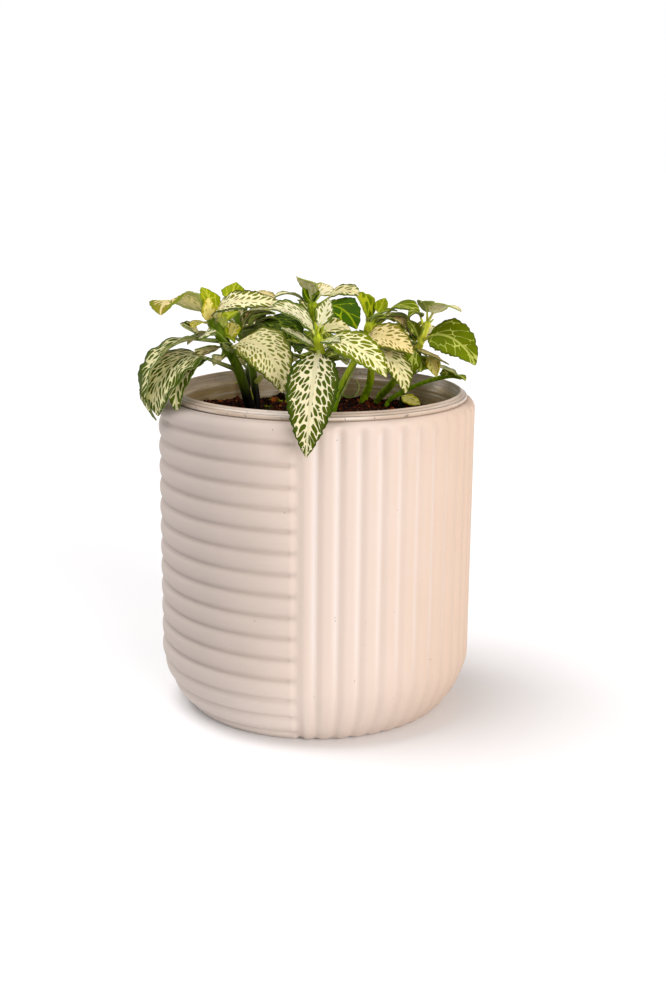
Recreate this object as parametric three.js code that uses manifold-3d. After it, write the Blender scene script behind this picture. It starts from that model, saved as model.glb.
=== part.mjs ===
// Potted nerve plant: a leafy cushion of white-veined leaves in a clear grower's pot, which hangs by
// its rim in a ribbed ceramic pot. Millimetres, +Z up, origin at the middle of the ceramic pot's foot.
import * as THREE from "three";
import { mergeVertices } from "three/addons/utils/BufferGeometryUtils.js";
import Module from "manifold-3d";

const wasm = await Module();
wasm.setup();

// Ceramic pot
const POT_RADIUS = 65;
const POT_HEIGHT = 130;
const MOUTH_RADIUS = 59.4;
const FLOOR_HEIGHT = 9;
const BASE_REACH = 13.2; // how far the rounded base draws in
const BASE_RISE = 22.6; // how high the rounded base reaches
const BASE_FULLNESS = 1.44; // exponent of the base's curve: 1 is a chamfer, 2 an ellipse
const LIP_START = 126.25; // the relief ends here and the lip's rounding begins

// The seam where the level bands meet the upright flutes, and its twin half a turn on
const SEAM_ANGLE = 262.8;
const BAND_TOP_GROOVE = 122;
const BAND_PITCH = 8.5;
const BAND_COUNT = 15;
const BAND_GROOVE_DEPTH = 1.5;
const BAND_GROOVE_HALF_WIDTH = 1.6;
const BAND_STEPS_ROUND = 16;
const FLUTE_COUNT = 24;
const FLUTE_DEPTH = 1.2;
const FLUTE_HALF_WIDTH = 1.2; // degrees
const FLUTE_FULL_HEIGHT = 121.5; // below this the flutes have their full depth
const SHOULDER_SHARE = 0.05; // depth at a groove's shoulder, as a share of the depth at its middle

// Clear grower's pot, a little off centre in the ceramic one
const LINER_SHIFT = 0.8;
const LINER_RIM_RADIUS = 60.8;
const LINER_RIM_TOP = 133.3;
const LINER_BOTTOM = 24.6;
const LINER_WALL = 1.2;
const LINER_SIDES = 40;
const CLEARANCE = 0.3;

// Soil and how deep the stems stand in it
const SOIL_TOP = 120;
const STEM_DEPTH = 10;
const SOIL_SIDES = 32;

// Leaves
const BLADE_THICKNESS = 0.7;
const PETIOLE_RADIUS = 0.9;
const FOLD = 12; // degrees that each half of a blade rises from the midrib
const EDGE_WAVE = 0.5; // height of the wave along a blade's edge, for each 10 mm of half width
const LEAST_HALF_WIDTH = 0.45;
const ROW_SPACING = 6.5;
const MOST_ROWS = 8;

const radians = THREE.MathUtils.degToRad;

// A closed skin that is sewn together from rows of points
class Skin {
  points = [];
  faces = [];

  point(x, y, z) {
    this.points.push(x, y, z);
    return this.points.length / 3 - 1;
  }

  // Sews two rows of [index, place along the row]; the outside lies to the right when walking from
  // the second row to the first with the rows running upwards
  sew(first, second) {
    let i = 0;
    let j = 0;
    while (i < first.length - 1 || j < second.length - 1) {
      const firstIsNext = i < first.length - 1
        && (j === second.length - 1 || first[i + 1][1] <= second[j + 1][1]);
      if (firstIsNext) {
        this.faces.push(first[i][0], second[j][0], first[i + 1][0]);
        i += 1;
      } else {
        this.faces.push(first[i][0], second[j][0], second[j + 1][0]);
        j += 1;
      }
    }
  }

  solid() {
    const mesh = new wasm.Mesh({
      numProp: 3,
      vertProperties: new Float32Array(this.points),
      triVerts: new Uint32Array(this.faces),
    });
    return new wasm.Manifold(mesh);
  }
}

function closed(ring, turn = 360) {
  return [...ring, [ring[0][0], ring[0][1] + turn]];
}

function solidOf(geometry) {
  const plain = geometry.clone();
  plain.deleteAttribute("normal");
  plain.deleteAttribute("uv");
  const merged = mergeVertices(plain, 1e-4);
  return new wasm.Manifold(new wasm.Mesh({
    numProp: 3,
    vertProperties: new Float32Array(merged.attributes.position.array),
    triVerts: new Uint32Array(merged.index.array),
  }));
}

function geometryOf(solid) {
  const mesh = solid.getMesh();
  const geometry = new THREE.BufferGeometry();
  geometry.setAttribute("position", new THREE.BufferAttribute(new Float32Array(mesh.vertProperties), 3));
  geometry.setIndex(new THREE.BufferAttribute(new Uint32Array(mesh.triVerts), 1));
  geometry.computeVertexNormals();
  return geometry;
}

function material(color, roughness, metalness = 0) {
  return new THREE.MeshStandardMaterial({ color, roughness, metalness });
}

// Radius of the smooth ceramic wall at a height, before any groove is cut
function wallRadius(z) {
  if (z >= BASE_RISE) {
    return POT_RADIUS;
  }
  const rest = Math.pow(1 - z / BASE_RISE, BASE_FULLNESS);
  return POT_RADIUS - BASE_REACH + BASE_REACH * Math.pow(1 - rest, 1 / BASE_FULLNESS);
}

// A point of the ceramic wall, sunk by a depth square to the wall; the foot's edge stays on the floor
function wallPoint(skin, angle, z, depth) {
  const slope = z > 0 && z < BASE_RISE ? (wallRadius(z + 0.05) - wallRadius(z - 0.05)) / 0.1 : 0;
  const length = Math.hypot(1, slope);
  const radius = wallRadius(z) - depth / length;
  const height = z + depth * slope / length;
  const turn = radians(angle);
  return skin.point(radius * Math.cos(turn), radius * Math.sin(turn), height);
}

function ring(skin, radius, z, sides) {
  return Array.from({ length: sides }, (_, i) => {
    const angle = SEAM_ANGLE + 360 * i / sides;
    const turn = radians(angle);
    return [skin.point(radius * Math.cos(turn), radius * Math.sin(turn), z), angle];
  });
}

// Heights of the level bands' rows with the depth of each, from the foot up
function bandRows() {
  const rows = [[0, 0]];
  for (let k = BAND_COUNT - 1; k >= 0; k -= 1) {
    const middle = BAND_TOP_GROOVE - BAND_PITCH * k;
    const shoulder = BAND_GROOVE_DEPTH * SHOULDER_SHARE;
    rows.push([middle - BAND_GROOVE_HALF_WIDTH, shoulder]);
    rows.push([middle, BAND_GROOVE_DEPTH]);
    rows.push([middle + BAND_GROOVE_HALF_WIDTH, shoulder]);
  }
  return [...rows, [LIP_START, 0]];
}

// Heights of the flutes' rows with the share of the depth at each, from the foot up
function fluteRows() {
  const base = [0, 1.2, 4, 8, 13, 18, BASE_RISE].map((z) => [z, 1]);
  const shaft = [55, 90, FLUTE_FULL_HEIGHT].map((z) => [z, 1]);
  return [...base, ...shaft, [124.3, 0.55], [LIP_START, 0]];
}

function column(skin, angle, rows, depth) {
  return rows.map(([z, share]) => [wallPoint(skin, angle, z, depth * share), z]);
}

function outerPot() {
  const skin = new Skin();
  const bands = bandRows();
  const flutes = fluteRows();
  const columns = [];
  const flutePitch = 180 / FLUTE_COUNT;
  for (let k = 0; k <= FLUTE_COUNT; k += 1) {
    const middle = SEAM_ANGLE + flutePitch * k;
    columns.push([middle, column(skin, middle, flutes, FLUTE_DEPTH)]);
    if (k < FLUTE_COUNT) {
      const shoulder = FLUTE_DEPTH * SHOULDER_SHARE;
      const near = middle + FLUTE_HALF_WIDTH;
      const far = middle + flutePitch - FLUTE_HALF_WIDTH;
      columns.push([near, column(skin, near, flutes, shoulder)]);
      columns.push([far, column(skin, far, flutes, shoulder)]);
    }
  }
  const bandSpan = 180 - 2 * FLUTE_HALF_WIDTH;
  for (let i = 0; i <= BAND_STEPS_ROUND; i += 1) {
    const angle = SEAM_ANGLE + 180 + FLUTE_HALF_WIDTH + bandSpan * i / BAND_STEPS_ROUND;
    columns.push([angle, column(skin, angle, bands, 1)]);
  }
  columns.forEach(([, here], i) => {
    const next = columns[(i + 1) % columns.length][1];
    skin.sew(here, next);
  });

  let rim = closed(columns.map(([angle, points]) => [points[points.length - 1][0], angle]));
  const overTheLip = [
    [64.3, 128.9], [62.6, POT_HEIGHT], [60.2, POT_HEIGHT], [MOUTH_RADIUS, 129.3],
    [58.4, 30], [55, 14], [48, FLOOR_HEIGHT],
  ];
  for (const [radius, z] of overTheLip) {
    const next = closed(ring(skin, radius, z, 48));
    skin.sew(next, rim);
    rim = next;
  }
  skin.sew([[skin.point(0, 0, FLOOR_HEIGHT), 0]], rim);

  const foot = closed(columns.map(([angle, points]) => [points[0][0], angle]));
  skin.sew(foot, [[skin.point(0, 0, 0), 0]]);
  const mesh = new THREE.Mesh(geometryOf(skin.solid()), material(0xe3d3c4, 0.62));
  mesh.name = "outer_pot";
  return mesh;
}

// Inside radius of the grower's pot below its stacking step
function linerInside(z) {
  return THREE.MathUtils.mapLinear(z, LINER_BOTTOM, 128, 43.5, 55.9);
}

function linerPot() {
  const floor = LINER_BOTTOM + LINER_WALL;
  const profile = [
    [0, LINER_BOTTOM], [linerInside(LINER_BOTTOM) + LINER_WALL, LINER_BOTTOM],
    [linerInside(127) + LINER_WALL, 127], [58.3, 128], [58.3, POT_HEIGHT + CLEARANCE],
    [LINER_RIM_RADIUS - 0.2, POT_HEIGHT + CLEARANCE], [LINER_RIM_RADIUS, 131.7],
    [59.6, 132.8], [58.6, LINER_RIM_TOP], [57.7, LINER_RIM_TOP], [57.2, 129.2], [56.1, 128.6],
    [linerInside(127), 127], [linerInside(floor), floor], [0, floor],
  ];
  const points = profile.map(([radius, z]) => new THREE.Vector2(radius, z));
  const turned = new THREE.LatheGeometry(points, LINER_SIDES);
  turned.rotateX(Math.PI / 2);
  const mesh = new THREE.Mesh(geometryOf(solidOf(turned)), material(0xcfc6ba, 0.35));
  mesh.name = "liner_pot";
  mesh.position.x = LINER_SHIFT;
  return mesh;
}

// A tube of round rings along a path, closed at both ends
function rod(path, radii, sides) {
  const skin = new Skin();
  const points = path.map((place) => new THREE.Vector3(...place));
  const rings = points.map((middle, i) => {
    const before = points[Math.max(i - 1, 0)];
    const after = points[Math.min(i + 1, points.length - 1)];
    const along = after.clone().sub(before).normalize();
    const guide = Math.abs(along.z) > 0.8 ? new THREE.Vector3(1, 0, 0) : new THREE.Vector3(0, 0, 1);
    const side = guide.clone().cross(along).normalize();
    const other = along.clone().cross(side);
    return closed(Array.from({ length: sides }, (_, k) => {
      const turn = 2 * Math.PI * k / sides;
      const place = middle.clone()
        .addScaledVector(side, radii[i] * Math.cos(turn))
        .addScaledVector(other, radii[i] * Math.sin(turn));
      return [skin.point(place.x, place.y, place.z), k];
    }), sides);
  });
  for (let i = 1; i < rings.length; i += 1) {
    skin.sew(rings[i], rings[i - 1]);
  }
  const first = points[0];
  const last = points[points.length - 1];
  skin.sew(rings[0], [[skin.point(first.x, first.y, first.z), 0]]);
  skin.sew([[skin.point(last.x, last.y, last.z), 0]], rings[rings.length - 1]);
  return skin.solid();
}

// The direction in which a leaf runs at a share s of its blade
function leafDirection(leaf, s) {
  const rise = radians(leaf.rise - leaf.bend * s);
  const heading = radians(leaf.heading + (leaf.turn ?? 0) * s);
  return {
    along: new THREE.Vector3(
      Math.cos(rise) * Math.cos(heading), Math.cos(rise) * Math.sin(heading), Math.sin(rise)),
    level: new THREE.Vector3(-Math.sin(heading), Math.cos(heading), 0),
  };
}

// Half width of a blade: pointed at both ends, widest just before its middle
function halfWidth(leaf, s) {
  return leaf.width / 2 * Math.pow(Math.sin(Math.PI * Math.pow(s, 0.8)), 0.8);
}

// A blade is two halves that rise from the midrib, with a scalloped and waved edge
function blade(leaf, base) {
  const skin = new Skin();
  const rows = THREE.MathUtils.clamp(Math.round(leaf.length / ROW_SPACING), 2, MOST_ROWS);
  const fold = radians(leaf.fold ?? FOLD);
  const middle = base.clone();
  const upper = [];
  const lower = [];
  for (let i = 0; i <= rows; i += 1) {
    const s = i / rows;
    if (i > 0) {
      middle.addScaledVector(leafDirection(leaf, s - 0.5 / rows).along, leaf.length / rows);
    }
    const { along, level } = leafDirection(leaf, s);
    const square = along.clone().cross(level);
    const roll = radians((leaf.roll ?? 0) + (leaf.twist ?? 0) * s);
    const side = level.clone().multiplyScalar(Math.cos(roll)).addScaledVector(square, Math.sin(roll));
    const normal = square.multiplyScalar(Math.cos(roll)).addScaledVector(level, -Math.sin(roll));
    const scallop = i % 2 === 0 ? 0.96 : 1.05;
    const half = Math.max(halfWidth(leaf, s) * scallop, LEAST_HALF_WIDTH);
    const across = [-1, 0, 1].map((v) => {
      const wave = EDGE_WAVE * half / 10 * Math.abs(v) * (i % 2 === 0 ? v : -v);
      const lift = half * Math.abs(v) * Math.sin(fold) + wave;
      return middle.clone().addScaledVector(side, half * v * Math.cos(fold)).addScaledVector(normal, lift);
    });
    upper.push(across.map((p) => p.clone().addScaledVector(normal, BLADE_THICKNESS / 2)));
    lower.push(across.map((p) => p.clone().addScaledVector(normal, -BLADE_THICKNESS / 2)));
  }
  const indices = (sheet) => sheet.map((row) => row.map((p) => skin.point(p.x, p.y, p.z)));
  const top = indices(upper);
  const bottom = indices(lower);
  for (let i = 0; i < rows; i += 1) {
    for (let j = 0; j < 2; j += 1) {
      skin.faces.push(top[i][j], top[i + 1][j], top[i + 1][j + 1]);
      skin.faces.push(top[i][j], top[i + 1][j + 1], top[i][j + 1]);
      skin.faces.push(bottom[i][j], bottom[i + 1][j + 1], bottom[i + 1][j]);
      skin.faces.push(bottom[i][j], bottom[i][j + 1], bottom[i + 1][j + 1]);
    }
  }
  const edge = [];
  for (let i = 0; i < rows; i += 1) {
    edge.push([i, 0]);
  }
  edge.push([rows, 0], [rows, 1]);
  for (let i = rows; i > 0; i -= 1) {
    edge.push([i, 2]);
  }
  edge.push([0, 2], [0, 1]);
  edge.forEach(([i, j], k) => {
    const [m, n] = edge[(k + 1) % edge.length];
    skin.faces.push(top[i][j], bottom[i][j], bottom[m][n]);
    skin.faces.push(top[i][j], bottom[m][n], top[m][n]);
  });
  return skin.solid();
}

// The point of a stem at a height
function stemPoint(stem, z) {
  const above = Math.max(stem.path.findIndex((place) => place[2] >= z), 1);
  const low = new THREE.Vector3(...stem.path[above - 1]);
  const high = new THREE.Vector3(...stem.path[above]);
  return low.lerp(high, (z - low.z) / (high.z - low.z));
}

function leafSolids(stem, leaf) {
  const root = stemPoint(stem, leaf.z);
  const { along } = leafDirection(leaf, 0);
  const base = root.clone().addScaledVector(along, leaf.petiole);
  const end = base.clone().addScaledVector(along, Math.min(leaf.length * 0.12, 3));
  const radius = Math.min(PETIOLE_RADIUS, 0.45 + leaf.width / 40);
  return [rod([root.toArray(), end.toArray()], [radius, radius * 0.8], 5), blade(leaf, base)];
}

// Where the stem stands in the soil, straight down from its foot
function sunkPath(stem) {
  const [x, y] = stem.path[0];
  return [[x, y, SOIL_TOP - STEM_DEPTH], [x, y, SOIL_TOP + 1.5], ...stem.path.slice(1)];
}

function stemNode(stem) {
  const path = sunkPath(stem);
  const radii = path.map((_, i) => stem.radius * (1 - 0.35 * i / (path.length - 1)));
  const solids = [rod(path, radii, 6), ...stem.leaves.flatMap((leaf) => leafSolids(stem, leaf))];
  const mesh = new THREE.Mesh(geometryOf(wasm.Manifold.union(solids)), material(stem.color, 0.5));
  mesh.name = `stem_${stem.name}`;
  return mesh;
}

// Coarse peat that fills the grower's pot, with a plain hole for each stem
function soil(stems) {
  const bottom = LINER_BOTTOM + LINER_WALL + CLEARANCE;
  const inside = (z) => linerInside(z) - CLEARANCE;
  const profile = [
    [0, bottom], [inside(bottom), bottom], [inside(SOIL_TOP - 1), SOIL_TOP - 1],
    [50, SOIL_TOP], [42, SOIL_TOP], [33, SOIL_TOP], [24, SOIL_TOP], [14, SOIL_TOP], [0, SOIL_TOP],
  ];
  const turned = new THREE.LatheGeometry(profile.map(([r, z]) => new THREE.Vector2(r, z)), SOIL_SIDES);
  turned.rotateX(Math.PI / 2);
  const places = turned.attributes.position;
  for (let i = 0; i < places.count; i += 1) {
    const x = places.getX(i);
    const y = places.getY(i);
    if (places.getZ(i) > SOIL_TOP - 0.5) {
      const bump = Math.sin(x * 0.31 + 1.3) * Math.cos(y * 0.37) + 0.6 * Math.sin(x * 0.83 - y * 0.71);
      places.setZ(i, SOIL_TOP + 0.7 * bump);
    }
  }
  const filling = solidOf(turned).translate([LINER_SHIFT, 0, 0]);
  const holes = stems.map((stem) => {
    const [x, y] = stem.path[0];
    const width = stem.radius + CLEARANCE;
    const low = SOIL_TOP - STEM_DEPTH - CLEARANCE;
    return rod([[x, y, low], [x, y, SOIL_TOP + 8]], [width, width], 12);
  });
  const cut = filling.subtract(wasm.Manifold.union(holes));
  const mesh = new THREE.Mesh(geometryOf(cut), material(0x3b1d10, 0.95));
  mesh.name = "soil";
  return mesh;
}

// A plain arching leaf at the back of the plant
function archingLeaf(z, heading, length) {
  return { z, heading, rise: 32, bend: 78, petiole: 4, length, width: length * 0.54 };
}

// Each leafy stem: the points it passes, from its foot in the soil, and its leaves. A leaf leaves the
// stem at height z, towards heading (degrees from +X), rising by rise; its blade bends down by bend and
// swings by turn from base to tip. Roll tips it sideways about its midrib, twist adds to the roll
// towards the tip, and fold is how far its halves rise where it isn't the usual one.
const STEMS = [
  {
    name: "left", radius: 2.4, color: 0x7f9440,
    path: [[-25.6, -2, 118], [-27.2, -3, 125], [-31.5, -6, 140], [-36, -8, 150], [-39.5, -9.5, 157],
      [-43, -10, 163]],
    leaves: [
      { z: 141, heading: 212, rise: 22, bend: 133, turn: 6, petiole: 15.8, length: 38.5, width: 30,
        roll: -3, twist: 3, fold: 5 },
      { z: 153, heading: 200, rise: 6, bend: 130, turn: 4, petiole: 9.5, length: 46, width: 21.5,
        roll: 8, twist: -4, fold: 14 },
      { z: 161, heading: 180, rise: 44, bend: 88, turn: 94, petiole: 6, length: 26.5, width: 18.5,
        roll: 33, twist: -35, fold: 8 },
      { z: 161, heading: 134, rise: 86, bend: 58, petiole: 2.5, length: 13, width: 10 },
      { z: 161, heading: 255, rise: 26, bend: -130, turn: 19, petiole: 3.5, length: 10, width: 6,
        roll: -155, twist: 7, fold: 17 },
      { z: 156, heading: 208, rise: 8, bend: -26, turn: 40, petiole: 9.5, length: 10, width: 8.5,
        roll: -43, twist: 25, fold: 20 },
      { z: 160, heading: 217, rise: 11, bend: 41, turn: 35, petiole: 4.5, length: 8, width: 7 },
      { z: 156, heading: 234, rise: 2, bend: -20, turn: 104, petiole: 6.5, length: 15, width: 7.5,
        roll: 40, twist: 11 },
      { z: 151, heading: 214, rise: -2, bend: -4, turn: 18, petiole: 3, length: 13, width: 9,
        roll: -155, twist: 16, fold: 14 },
      { z: 159, heading: 276, rise: 36, bend: 54, turn: 104, petiole: 7.5, length: 36.5, width: 10,
        roll: 46, fold: 16 },
      { z: 150, heading: 52, rise: 82, bend: 80, turn: 20, petiole: 3.5, length: 9.3, width: 8,
        roll: 8, twist: 10, fold: 10 },
      { z: 157, heading: 48, rise: 48, bend: 50, petiole: 4.5, length: 9.5, width: 7 },
      { z: 149, heading: 311, rise: 29, bend: 110, turn: -4, petiole: 5, length: 40, width: 19.5,
        roll: 20, twist: 20, fold: 10 },
    ],
  },
  {
    name: "left_back", radius: 1.9, color: 0x77903c,
    path: [[-25, 5, 118], [-25.5, 5.5, 130], [-28, 8, 145], [-32, 9, 156], [-34, 12, 163]],
    leaves: [
      { z: 162.9, heading: 106, rise: 48, bend: 5, turn: -50, petiole: 5.5, length: 9.5, width: 10,
        twist: -12 },
      { z: 162.9, heading: 345, rise: 54, bend: 104, turn: -16, petiole: 5, length: 17, width: 14,
        roll: -8, twist: 12, fold: 5 },
      { z: 155, heading: 318, rise: 60, bend: 82, turn: 11, petiole: 3.5, length: 19, width: 11,
        roll: 168, twist: -8 },
      { z: 154, heading: 325, rise: 36, bend: 43, turn: 10, petiole: 2, length: 9, width: 9 },
      { z: 153, heading: 328, rise: 34, bend: 108, turn: -8, petiole: 6.5, length: 29.5, width: 18,
        roll: 8 },
      { z: 156, heading: 112, rise: 38, bend: 80, petiole: 5, length: 27, width: 15 },
      { z: 150, heading: 150, rise: 20, bend: 60, petiole: 5, length: 26, width: 15 },
      { z: 150, heading: 333, rise: 95, bend: 120, petiole: 4, length: 21.8, width: 9, roll: 25 },
    ],
  },
  {
    name: "front", radius: 1.9, color: 0x93a84a,
    path: [[4, -20, 118], [4, -27, 131], [2.5, -34, 144], [1, -37.5, 152], [0, -38, 160]],
    leaves: [
      { z: 154, heading: 264, rise: -18, bend: 56, turn: -3, petiole: 4, length: 48.5, width: 19.5,
        roll: -2, twist: -7, fold: 9 },
      { z: 157, heading: 315, rise: 10, bend: 68, turn: 30, petiole: 4.5, length: 30.5, width: 14,
        roll: 22, twist: 28, fold: 10 },
      { z: 158, heading: 202, rise: 55, bend: 56, turn: 5, petiole: 4, length: 20, width: 16.5,
        roll: -34, twist: 14, fold: 10 },
      { z: 154, heading: 200, rise: 30, bend: 2, turn: 2, petiole: 2.5, length: 15, width: 8,
        roll: -20, twist: -8, fold: 14 },
      { z: 153, heading: 201, rise: 21, bend: 64, turn: 13, petiole: 4.5, length: 6.5, width: 8 },
      { z: 160, heading: 63, rise: 50, bend: 8, turn: 12, petiole: 4, length: 12.2, width: 8,
        roll: 18, twist: -4, fold: 14 },
      { z: 159, heading: 28, rise: 30, bend: 63, turn: 10, petiole: 3.5, length: 12.5, width: 10,
        roll: 32 },
      { z: 156.5, heading: 312, rise: 14, bend: 16, turn: -8, petiole: 2.5, length: 10.5, width: 8,
        roll: 20 },
      { z: 152, heading: 347, rise: 14, bend: 43, petiole: 3, length: 8.5, width: 10 },
      { z: 149, heading: 51, rise: 16, bend: 40, petiole: 3, length: 15.7, width: 6.5 },
    ],
  },
  {
    name: "middle", radius: 1.8, color: 0x8ea545,
    path: [[3, 14, 118], [0, 12, 135], [-1, 8, 152], [-2, 4, 162], [-2, 2, 168]],
    leaves: [
      { z: 167, heading: 228, rise: 68, bend: 48, turn: -2, petiole: 4, length: 11, width: 11.5,
        roll: -4, twist: -6, fold: 14 },
      { z: 167, heading: 30, rise: 44, bend: 36, turn: 14, petiole: 5, length: 7, width: 9.5,
        roll: 25, twist: 2, fold: 9 },
      { z: 167, heading: 223, rise: 38, bend: -39, petiole: 2.5, length: 6.5, width: 6, roll: -70 },
      { z: 167, heading: 307, rise: 70, bend: 59, petiole: 1.5, length: 6, width: 6, roll: 73 },
      { z: 165, heading: 197, rise: 41, bend: 70, turn: 19, petiole: 5.5, length: 14, width: 7 },
      { z: 165, heading: 350, rise: 35, bend: 60, turn: -40, petiole: 9, length: 14, width: 10,
        roll: 20, twist: 8 },
      { z: 164, heading: 314, rise: 17, bend: 76, turn: -5, petiole: 7.8, length: 21.5, width: 13.5,
        roll: 20, twist: 12 },
      { z: 160, heading: 85, rise: 30, bend: 75, petiole: 5, length: 28, width: 16 },
    ],
  },
  {
    name: "right_front", radius: 1.7, color: 0x9db04c,
    path: [[6, -6, 118], [9, -8, 133], [15, -9, 146], [18, -8, 154]],
    leaves: [
      { z: 153, heading: 307, rise: 24, bend: 67, turn: 34, petiole: 3.3, length: 24.6, width: 14,
        roll: 38, twist: 3, fold: 16 },
      { z: 149, heading: 316, rise: 8, bend: 91, turn: -8, petiole: 8, length: 26.5, width: 14,
        roll: 2, twist: 8, fold: 7 },
    ],
  },
  {
    name: "right", radius: 1.9, color: 0x86a03a,
    path: [[20.5, 36, 118], [23, 30, 131], [23, 22, 143], [21.5, 14, 152], [21, 8, 159]],
    leaves: [
      { z: 155, heading: 200, rise: 80, bend: 32, turn: 4, petiole: 4, length: 12.5, width: 13,
        roll: -40, twist: -6, fold: 26 },
      { z: 157, heading: 20, rise: 53, bend: -20, turn: 8, petiole: 7.2, length: 6.8, width: 9, roll: 14 },
      { z: 156, heading: 352, rise: 41, bend: 88, turn: -18, petiole: 11.5, length: 13.8, width: 13.5,
        roll: 3, twist: 12, fold: 9 },
      { z: 154, heading: 346, rise: 48, bend: 128, turn: -12, petiole: 5.5, length: 18.8, width: 12.5,
        roll: 3, twist: 5, fold: 9 },
      { z: 146, heading: 75, rise: 25, bend: 80, petiole: 5, length: 33, width: 18 },
      { z: 156, heading: 348, rise: 68, bend: 80, petiole: 2, length: 13.8, width: 8 },
    ],
  },
  {
    name: "far_right", radius: 1.8, color: 0x8aa43c,
    path: [[27, 38, 118], [32, 28, 130], [38, 14, 142], [42, 2, 151], [45, -1, 161]],
    leaves: [
      { z: 149, heading: 289, rise: -6, bend: 12, turn: 36, petiole: 1.2, length: 20, width: 7.5,
        roll: -8, twist: -10, fold: 6 },
      { z: 149, heading: 310, rise: -24, bend: 22, turn: -44, petiole: 7, length: 12, width: 6,
        roll: 28, twist: 13 },
      { z: 160, heading: 299, rise: 48, bend: 81, turn: 35, petiole: 5.8, length: 16, width: 11,
        roll: -12, twist: 8, fold: 6 },
      { z: 160, heading: 239, rise: 86, bend: 92, petiole: 4.5, length: 8, width: 8 },
      { z: 152, heading: 303, rise: 24, bend: 87, turn: 24, petiole: 6.5, length: 29, width: 15.5,
        roll: 49, twist: 5, fold: 10 },
      { z: 146, heading: 295, rise: -8, bend: 30, turn: -42, petiole: 3.2, length: 12.5, width: 8,
        roll: -3, twist: -5 },
      { z: 157, heading: 198, rise: 71, bend: 138, petiole: 5.5, length: 6.5, width: 10.5 },
      { z: 152, heading: 60, rise: 25, bend: 80, petiole: 5, length: 32, width: 18 },
      { z: 149, heading: 252, rise: -12, bend: 110, petiole: 3, length: 12.1, width: 8 },
    ],
  },
  {
    name: "twig", radius: 1.1, color: 0x7f9a35,
    path: [[30, 25, 118], [35, 22, 127], [46, 15, 133.5], [55, 8, 137], [60, 2, 137.2]],
    leaves: [
      { z: 127, heading: 333, rise: -27, bend: -17, turn: -6, petiole: 1.8, length: 9.2, width: 7,
        roll: 25 },
      { z: 136, heading: 293, rise: 26, bend: -3, turn: -72, petiole: 3, length: 9, width: 6, roll: -179 },
      { z: 137, heading: 306, rise: 10, bend: 26, turn: -24, petiole: 3, length: 10, width: 4 },
    ],
  },
  {
    name: "back_left", radius: 1.8, color: 0x7c9540,
    path: [[-31, 36, 118], [-30, 38, 132], [-28, 40, 148]],
    leaves: [
      archingLeaf(147, 100, 32), archingLeaf(147, 170, 20), archingLeaf(141, 50, 24),
      archingLeaf(141, 230, 16), archingLeaf(134, 80, 29), archingLeaf(134, 130, 25),
    ],
  },
  {
    name: "back_middle", radius: 1.8, color: 0x87a043,
    path: [[-2, 36, 118], [-1, 40, 132], [0, 43, 148]],
    leaves: [
      archingLeaf(147, 88, 30), archingLeaf(147, 268, 20), archingLeaf(141, 15, 22),
      archingLeaf(141, 165, 18), archingLeaf(134, 60, 28), archingLeaf(134, 115, 26),
    ],
  },
  {
    name: "back_right", radius: 1.8, color: 0x829b3e,
    path: [[37, 26, 118], [38, 29, 132], [38, 32, 146]],
    leaves: [
      archingLeaf(145, 60, 28), archingLeaf(145, 240, 12), archingLeaf(139, 130, 22),
      archingLeaf(132, 25, 25), archingLeaf(132, 90, 27),
    ],
  },
];

const plant = new THREE.Group();
plant.add(outerPot(), linerPot(), soil(STEMS), ...STEMS.map(stemNode));

export default plant;
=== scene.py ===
from dataclasses import dataclass
from math import cos, pi, radians, sin

import bpy
import numpy as np
from mathutils import Matrix, Vector


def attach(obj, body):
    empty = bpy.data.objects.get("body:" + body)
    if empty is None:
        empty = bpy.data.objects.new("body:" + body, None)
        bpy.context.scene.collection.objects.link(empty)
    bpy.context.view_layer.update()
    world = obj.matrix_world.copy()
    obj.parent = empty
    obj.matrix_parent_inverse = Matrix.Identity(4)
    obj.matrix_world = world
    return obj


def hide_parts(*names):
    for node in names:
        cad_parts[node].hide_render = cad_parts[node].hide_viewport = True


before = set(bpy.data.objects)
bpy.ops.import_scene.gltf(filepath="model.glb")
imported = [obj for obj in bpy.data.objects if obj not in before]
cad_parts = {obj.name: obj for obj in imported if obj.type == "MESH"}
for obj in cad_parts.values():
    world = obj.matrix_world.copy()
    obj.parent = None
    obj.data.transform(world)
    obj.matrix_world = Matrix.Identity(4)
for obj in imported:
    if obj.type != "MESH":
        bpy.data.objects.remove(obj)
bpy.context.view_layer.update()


# Camera. It stands a little above the rim in front of the pot and looks slightly down, as in the
# photograph. Its lens is given in pixels of the 666 x 1000 image.
CAMERA_DISTANCE = 0.5977
CAMERA_ELEVATION = radians(15.38)
CAMERA_AIM_HEIGHT = 0.068
CAMERA_PITCH = radians(13.75)
CAMERA_YAW = radians(0.70)
CAMERA_ROLL = radians(0.54)
LENS_IN_PIXELS = 1414
IMAGE_HEIGHT_IN_PIXELS = 1000
SENSOR_SIZE = 36


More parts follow.
